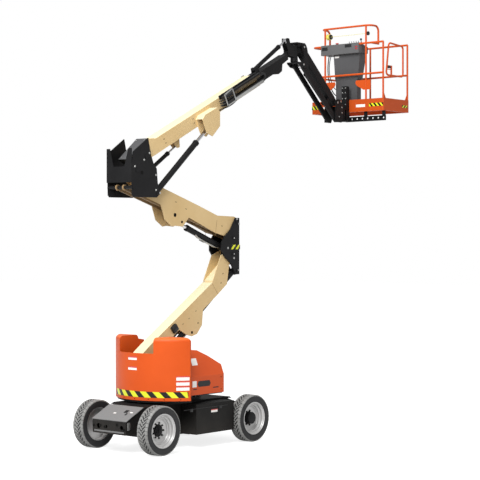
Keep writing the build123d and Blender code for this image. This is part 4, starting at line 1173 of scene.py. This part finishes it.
# hose carrier: side frame, links, rails, three short tubes and the hose that runs back along the boom
frameBars, upperRail, link, tubes = meshes(4)
corners = [(1.99, -0.045), (1.99, 0.135), (2.20, 0.155), (2.20, -0.045)]
for a, b in zip(corners, corners[1:] + corners[:1]):
    start, end = Vector((a[0], 0, a[1])), Vector((b[0], 0, b[1]))
    bar = mainBoom @ frameAt((start.x, -0.245, start.z), end - start)
    addBox(frameBars, (-0.008, -0.004, -0.011), ((end - start).length + 0.008, 0.004, 0.011), 0.002, bar)
addBox(frameBars, (2.21, -0.2475, -0.051), (2.955, -0.2415, -0.006), 0.002, mainBoom)
addBox(upperRail, (2.21, -0.25, 0.104), (2.955, -0.24, 0.122), 0.003, mainBoom)
linkLook = {
    "pitch": 0.046, "length": 0.05, "height": 0.034, "waist": 0.012, "crown": 0.018, "count": 16,
    "start": 2.2,
}
a, b, c, d = linkLook["length"] / 2, linkLook["waist"], linkLook["crown"], linkLook["height"] / 2
outline = [(-a, -b), (-c, -d), (c, -d), (a, -b), (a, b), (c, d), (-c, d), (-a, b)]
addPrism(link, outline, -0.003, 0.003, mainBoom.to_3x3().to_4x4(), 0.0015, 1)
addRod(link, (0, -0.0048, 0), (0, 0.0, 0), 0.006, 0.001, 10)
places = [
    mainBoom @ Vector((linkLook["start"] + i * linkLook["pitch"], -0.2385, v))
    for i in range(linkLook["count"])
    for v in (-0.018, 0.08)
]
linkRow = rowOf("carrierLinks", link, places, linkPlastic)
for v in (0.0, 0.035, 0.07):
    route = ((1.93, -0.15, v - 0.02), (2.02, -0.232, v), (2.16, -0.236, v + 0.005), (2.30, -0.225, v))
    addSweep(tubes, rounded([mainBoom @ Vector(p) for p in route], 0.03), 0.0095)
joinParts(
    "carrierFrame", "main_boom",
    [(frameBars, bareSteel), (upperRail, blackCoat), (linkRow, linkPlastic), (tubes, hoseRubber)],
)
addHose(
    "sideHose", "main_boom",
    [
        mainBoom @ Vector(p)
        for p in (
            (1.45, -0.118, -0.02), (1.6, -0.12, -0.05), (1.95, -0.12, -0.085), (2.2, -0.12, -0.125),
            (2.34, -0.12, -0.10),
        )
    ],
    0.016,
)

# pressed cover over the boom's sloping tail: its sloping top is painted grey as a painted reflection on the
# black cap, its end face black
tail, tailEnd = meshes(2)
addPrism(
    tail, [(-0.2155, 0.0575), (0.2585, 0.1735), (0.257, 0.1795), (-0.217, 0.0635)], -0.107, 0.107,
    mainBoom, 0.001,
)
addPrism(
    tailEnd, [(-0.2125, 0.0575), (-0.1465, -0.0365), (-0.1506, -0.0394), (-0.2166, 0.0546)], -0.107,
    0.107, mainBoom, 0.001,
)
# bolts back from the cover's upper end, down its slope
aim = mainBoom.to_3x3() @ Vector((-0.24, 0, 0.97))
places = [
    (0.257 - 0.001 + back, y, 0.1795 - 0.001 + back * 0.245)
    for back in (-0.04, -0.42)
    for y in (-0.08, 0.08)
]
spots = [(mainBoom @ Vector(place), aim, 0.7) for place in places]
joinParts(
    "boomTailCover", "main_boom",
    [(tail, greyShellAndCapReflection), (tailEnd, blackCoat), boltField("tailBolts", spots, bareSteel)],
)
print("hose carrier ready")

# jib: pin heads on the yoke and the platform support
jibSpots = {
    "jib_yoke": [(pin["jib_lift"].x, pin["jib_lift"].z), (pin["strap_pivot"].x, pin["strap_pivot"].z)],
    "platform_support": [(pin["support_pivot"].x, pin["support_pivot"].z)],
}
for body, spotsHere in jibSpots.items():
    low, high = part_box(body)
    caps = bmesh.new()
    for x, z in spotsHere:
        for sign, face in ((-1, low.y), (1, high.y)):
            addTurned(
                caps, [(0, 0), (0.017, 0), (0.017, 0.003), (0.013, 0.005), (0, 0.005)],
                (x, face - sign * 0.001, z), (0, sign, 0), 20,
            )
    joinParts(body + "Caps", body, [(caps, bareSteel)])
# bolts on the support's cheeks and on the platform's mount
spots = boltsBothSides([(2.15, 5.385), (2.175, 5.29), (2.18, 5.20), (2.10, 5.13)], 0.118, 0.9)
joinParts("supportBolts", "platform_support", [boltField("supportBoltHeads", spots, bareSteel)])
spots = [((2.3925, y, z), (-1, 0, 0), 0.8) for y in (-0.032, 0.032) for z in (5.36, 5.46, 5.56, 5.64)]
joinParts("mountBolts", "platform", [boltField("mountBoltHeads", spots, bareSteel)])
print("jib fittings ready")

# platform: console shell and controls, labels, tape, reel and wire
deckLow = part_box("platform_deck")[0]
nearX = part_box("platform_rails")[0].x
shell, dark, buttons, labels, bright, black, lenses, reel, disc = meshes(9)
shellSide = [
    (nearX - 0.012, 6.236), (nearX + 0.09, 6.236), (nearX + 0.09, 6.396), (nearX + 0.07, 6.411),
    (nearX - 0.002, 6.411), (nearX - 0.012, 6.401),
]
addPrism(shell, shellSide, -0.25, 0.555, None, 0.005)
# thin panels proud of the shell's face
filmOut, filmIn = nearX - 0.0135, nearX - 0.011
addBox(dark, (filmOut, 0.41, 6.315), (filmIn, 0.53, 6.375), 0.001)
addBox(dark, (filmOut, -0.10, 6.34), (filmIn, 0.04, 6.395), 0.001)
for i in range(5):
    y = 0.02 - 0.048 * i
    addRod(dark, (2.58, y, 6.41), (2.58, y, 6.425), 0.012, 0.002, 14)
    addRod(dark, (2.58, y, 6.42), (2.572, y, 6.452), 0.005, 0.001, 10)
stick = rounded([(2.62, -0.2, 6.38), (2.62, -0.2, 6.43), (2.612, -0.2, 6.465)], 0.02)
addSweep(dark, stick, 0.007)
addTurned(
    dark, [(0.036, 0), (0.03, 0.012), (0.016, 0.02), (0.01, 0.034)], (2.62, -0.2, 6.40), (0, 0, 1), 20,
)
addTurned(
    dark, [(0, 0), (0.011, 0.002), (0.018, 0.012), (0.019, 0.022), (0.014, 0.034), (0, 0.039)],
    (2.611, -0.2, 6.458), (0, 0, 1), 18,
)
addTurned(
    buttons,
    [(0, 0), (0.014, 0), (0.014, 0.02), (0.028, 0.024), (0.028, 0.034), (0.02, 0.041), (0, 0.043)],
    (2.575, 0.28, 6.405), (0, 0, 1), 24,
)
for z in (6.30, 6.335):
    addBox(buttons, (filmOut, -0.225, z), (filmIn, -0.175, z + 0.018), 0.001)
bodyFace = lambda u, v, lift: Vector((2.556 - lift, u, v))
addLabels(labels, bodyFace, (0.225, 6.185, 0.315, 6.215))
deckFace = flatEnd(deckLow.x, -1)
sideFace = flatSide(deckLow.y, -1)
addLabels(labels, deckFace, (-0.38, 5.305, -0.19, 5.352), (0.47, 5.308, 0.51, 5.348))
tape = {"pitch": 0.085, "lean": 0.05}
addStripes(bright, black, deckFace, -0.755, -0.46, 5.306, 5.362, **tape)
addStripes(bright, black, deckFace, 0.60, 0.755, 5.306, 5.372, **tape)
addStripes(bright, black, sideFace, 3.03, 3.195, 5.306, 5.348, **tape, thick=0.0006)
for y in (-0.02, -0.16):
    addTurned(
        lenses, [(0, 0), (0.013, 0), (0.013, 0.003), (0.009, 0.006), (0, 0.007)], (2.5505, y, 5.178),
        (-1, 0, 0), 18,
    )
reelX = nearX + 0.017
addTurned(
    reel,
    [
        (0.012, 0), (0.052, 0), (0.052, 0.008), (0.036, 0.012), (0.036, 0.044), (0.052, 0.048),
        (0.052, 0.056), (0.012, 0.056),
    ],
    (reelX, 0.372, 6.55), (0, 1, 0), 28,
)
addTurned(
    disc, [(0, 0), (0.04, 0), (0.04, 0.016), (0.032, 0.022), (0, 0.022)], (reelX, 0.347, 6.55),
    (0, 1, 0), 24,
)
addTurned(
    disc, [(0, 0), (0.034, 0), (0.034, 0.02), (0.026, 0.026), (0, 0.026)], (reelX, -0.44, 6.55),
    (0, 1, 0), 24,
)
for y0, y1 in ((0.42, 0.475), (-0.42, -0.375)):
    addBox(disc, (reelX - 0.008, y0, 6.53), (reelX + 0.008, y1, 6.57), 0.003)
joinParts(
    "platformFittings", "platform",
    [
        (shell, paleMoulding), (dark, blackMoulding), (buttons, redButton), (labels, whiteDecal),
        (bright, yellowVinyl), (black, blackVinyl), (lenses, redLens), (reel, yellowMoulding),
        (disc, blackMoulding),
    ],
)
addHose(
    "stopWire", "platform",
    [
        (reelX, 0.468, 6.552), (reelX, 0.3, 6.552), (reelX, 0.05, 6.55), (reelX, -0.2, 6.55),
        (reelX, -0.37, 6.552),
    ],
    0.006, yellowMoulding,
)
addHose(
    "consoleHose", "platform",
    [
        (2.585, 0.46, 6.24), (2.575, 0.47, 6.16), (2.555, 0.47, 6.0), (2.545, 0.44, 5.8),
        (2.56, 0.38, 5.62), (2.60, 0.33, 5.54), (2.62, 0.301, 5.53),
    ],
    0.018,
)
addHose(
    "consoleHoseTwo", "platform",
    [
        (2.585, 0.42, 6.24), (2.565, 0.435, 6.14), (2.54, 0.43, 5.98), (2.535, 0.4, 5.84),
        (2.56, 0.36, 5.7), (2.60, 0.325, 5.64), (2.62, 0.301, 5.635),
    ],
    0.014,
)
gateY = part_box("platform_gate")[0].y
latch = bmesh.new()
addBox(latch, (2.63, gateY + 0.001, 5.95), (2.70, gateY + 0.03, 5.995), 0.006)
joinParts("gateLatch", "platform_gate", [(latch, blackMoulding)])
print("platform fittings ready")

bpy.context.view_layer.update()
bpy.data.objects.remove(boltHead)
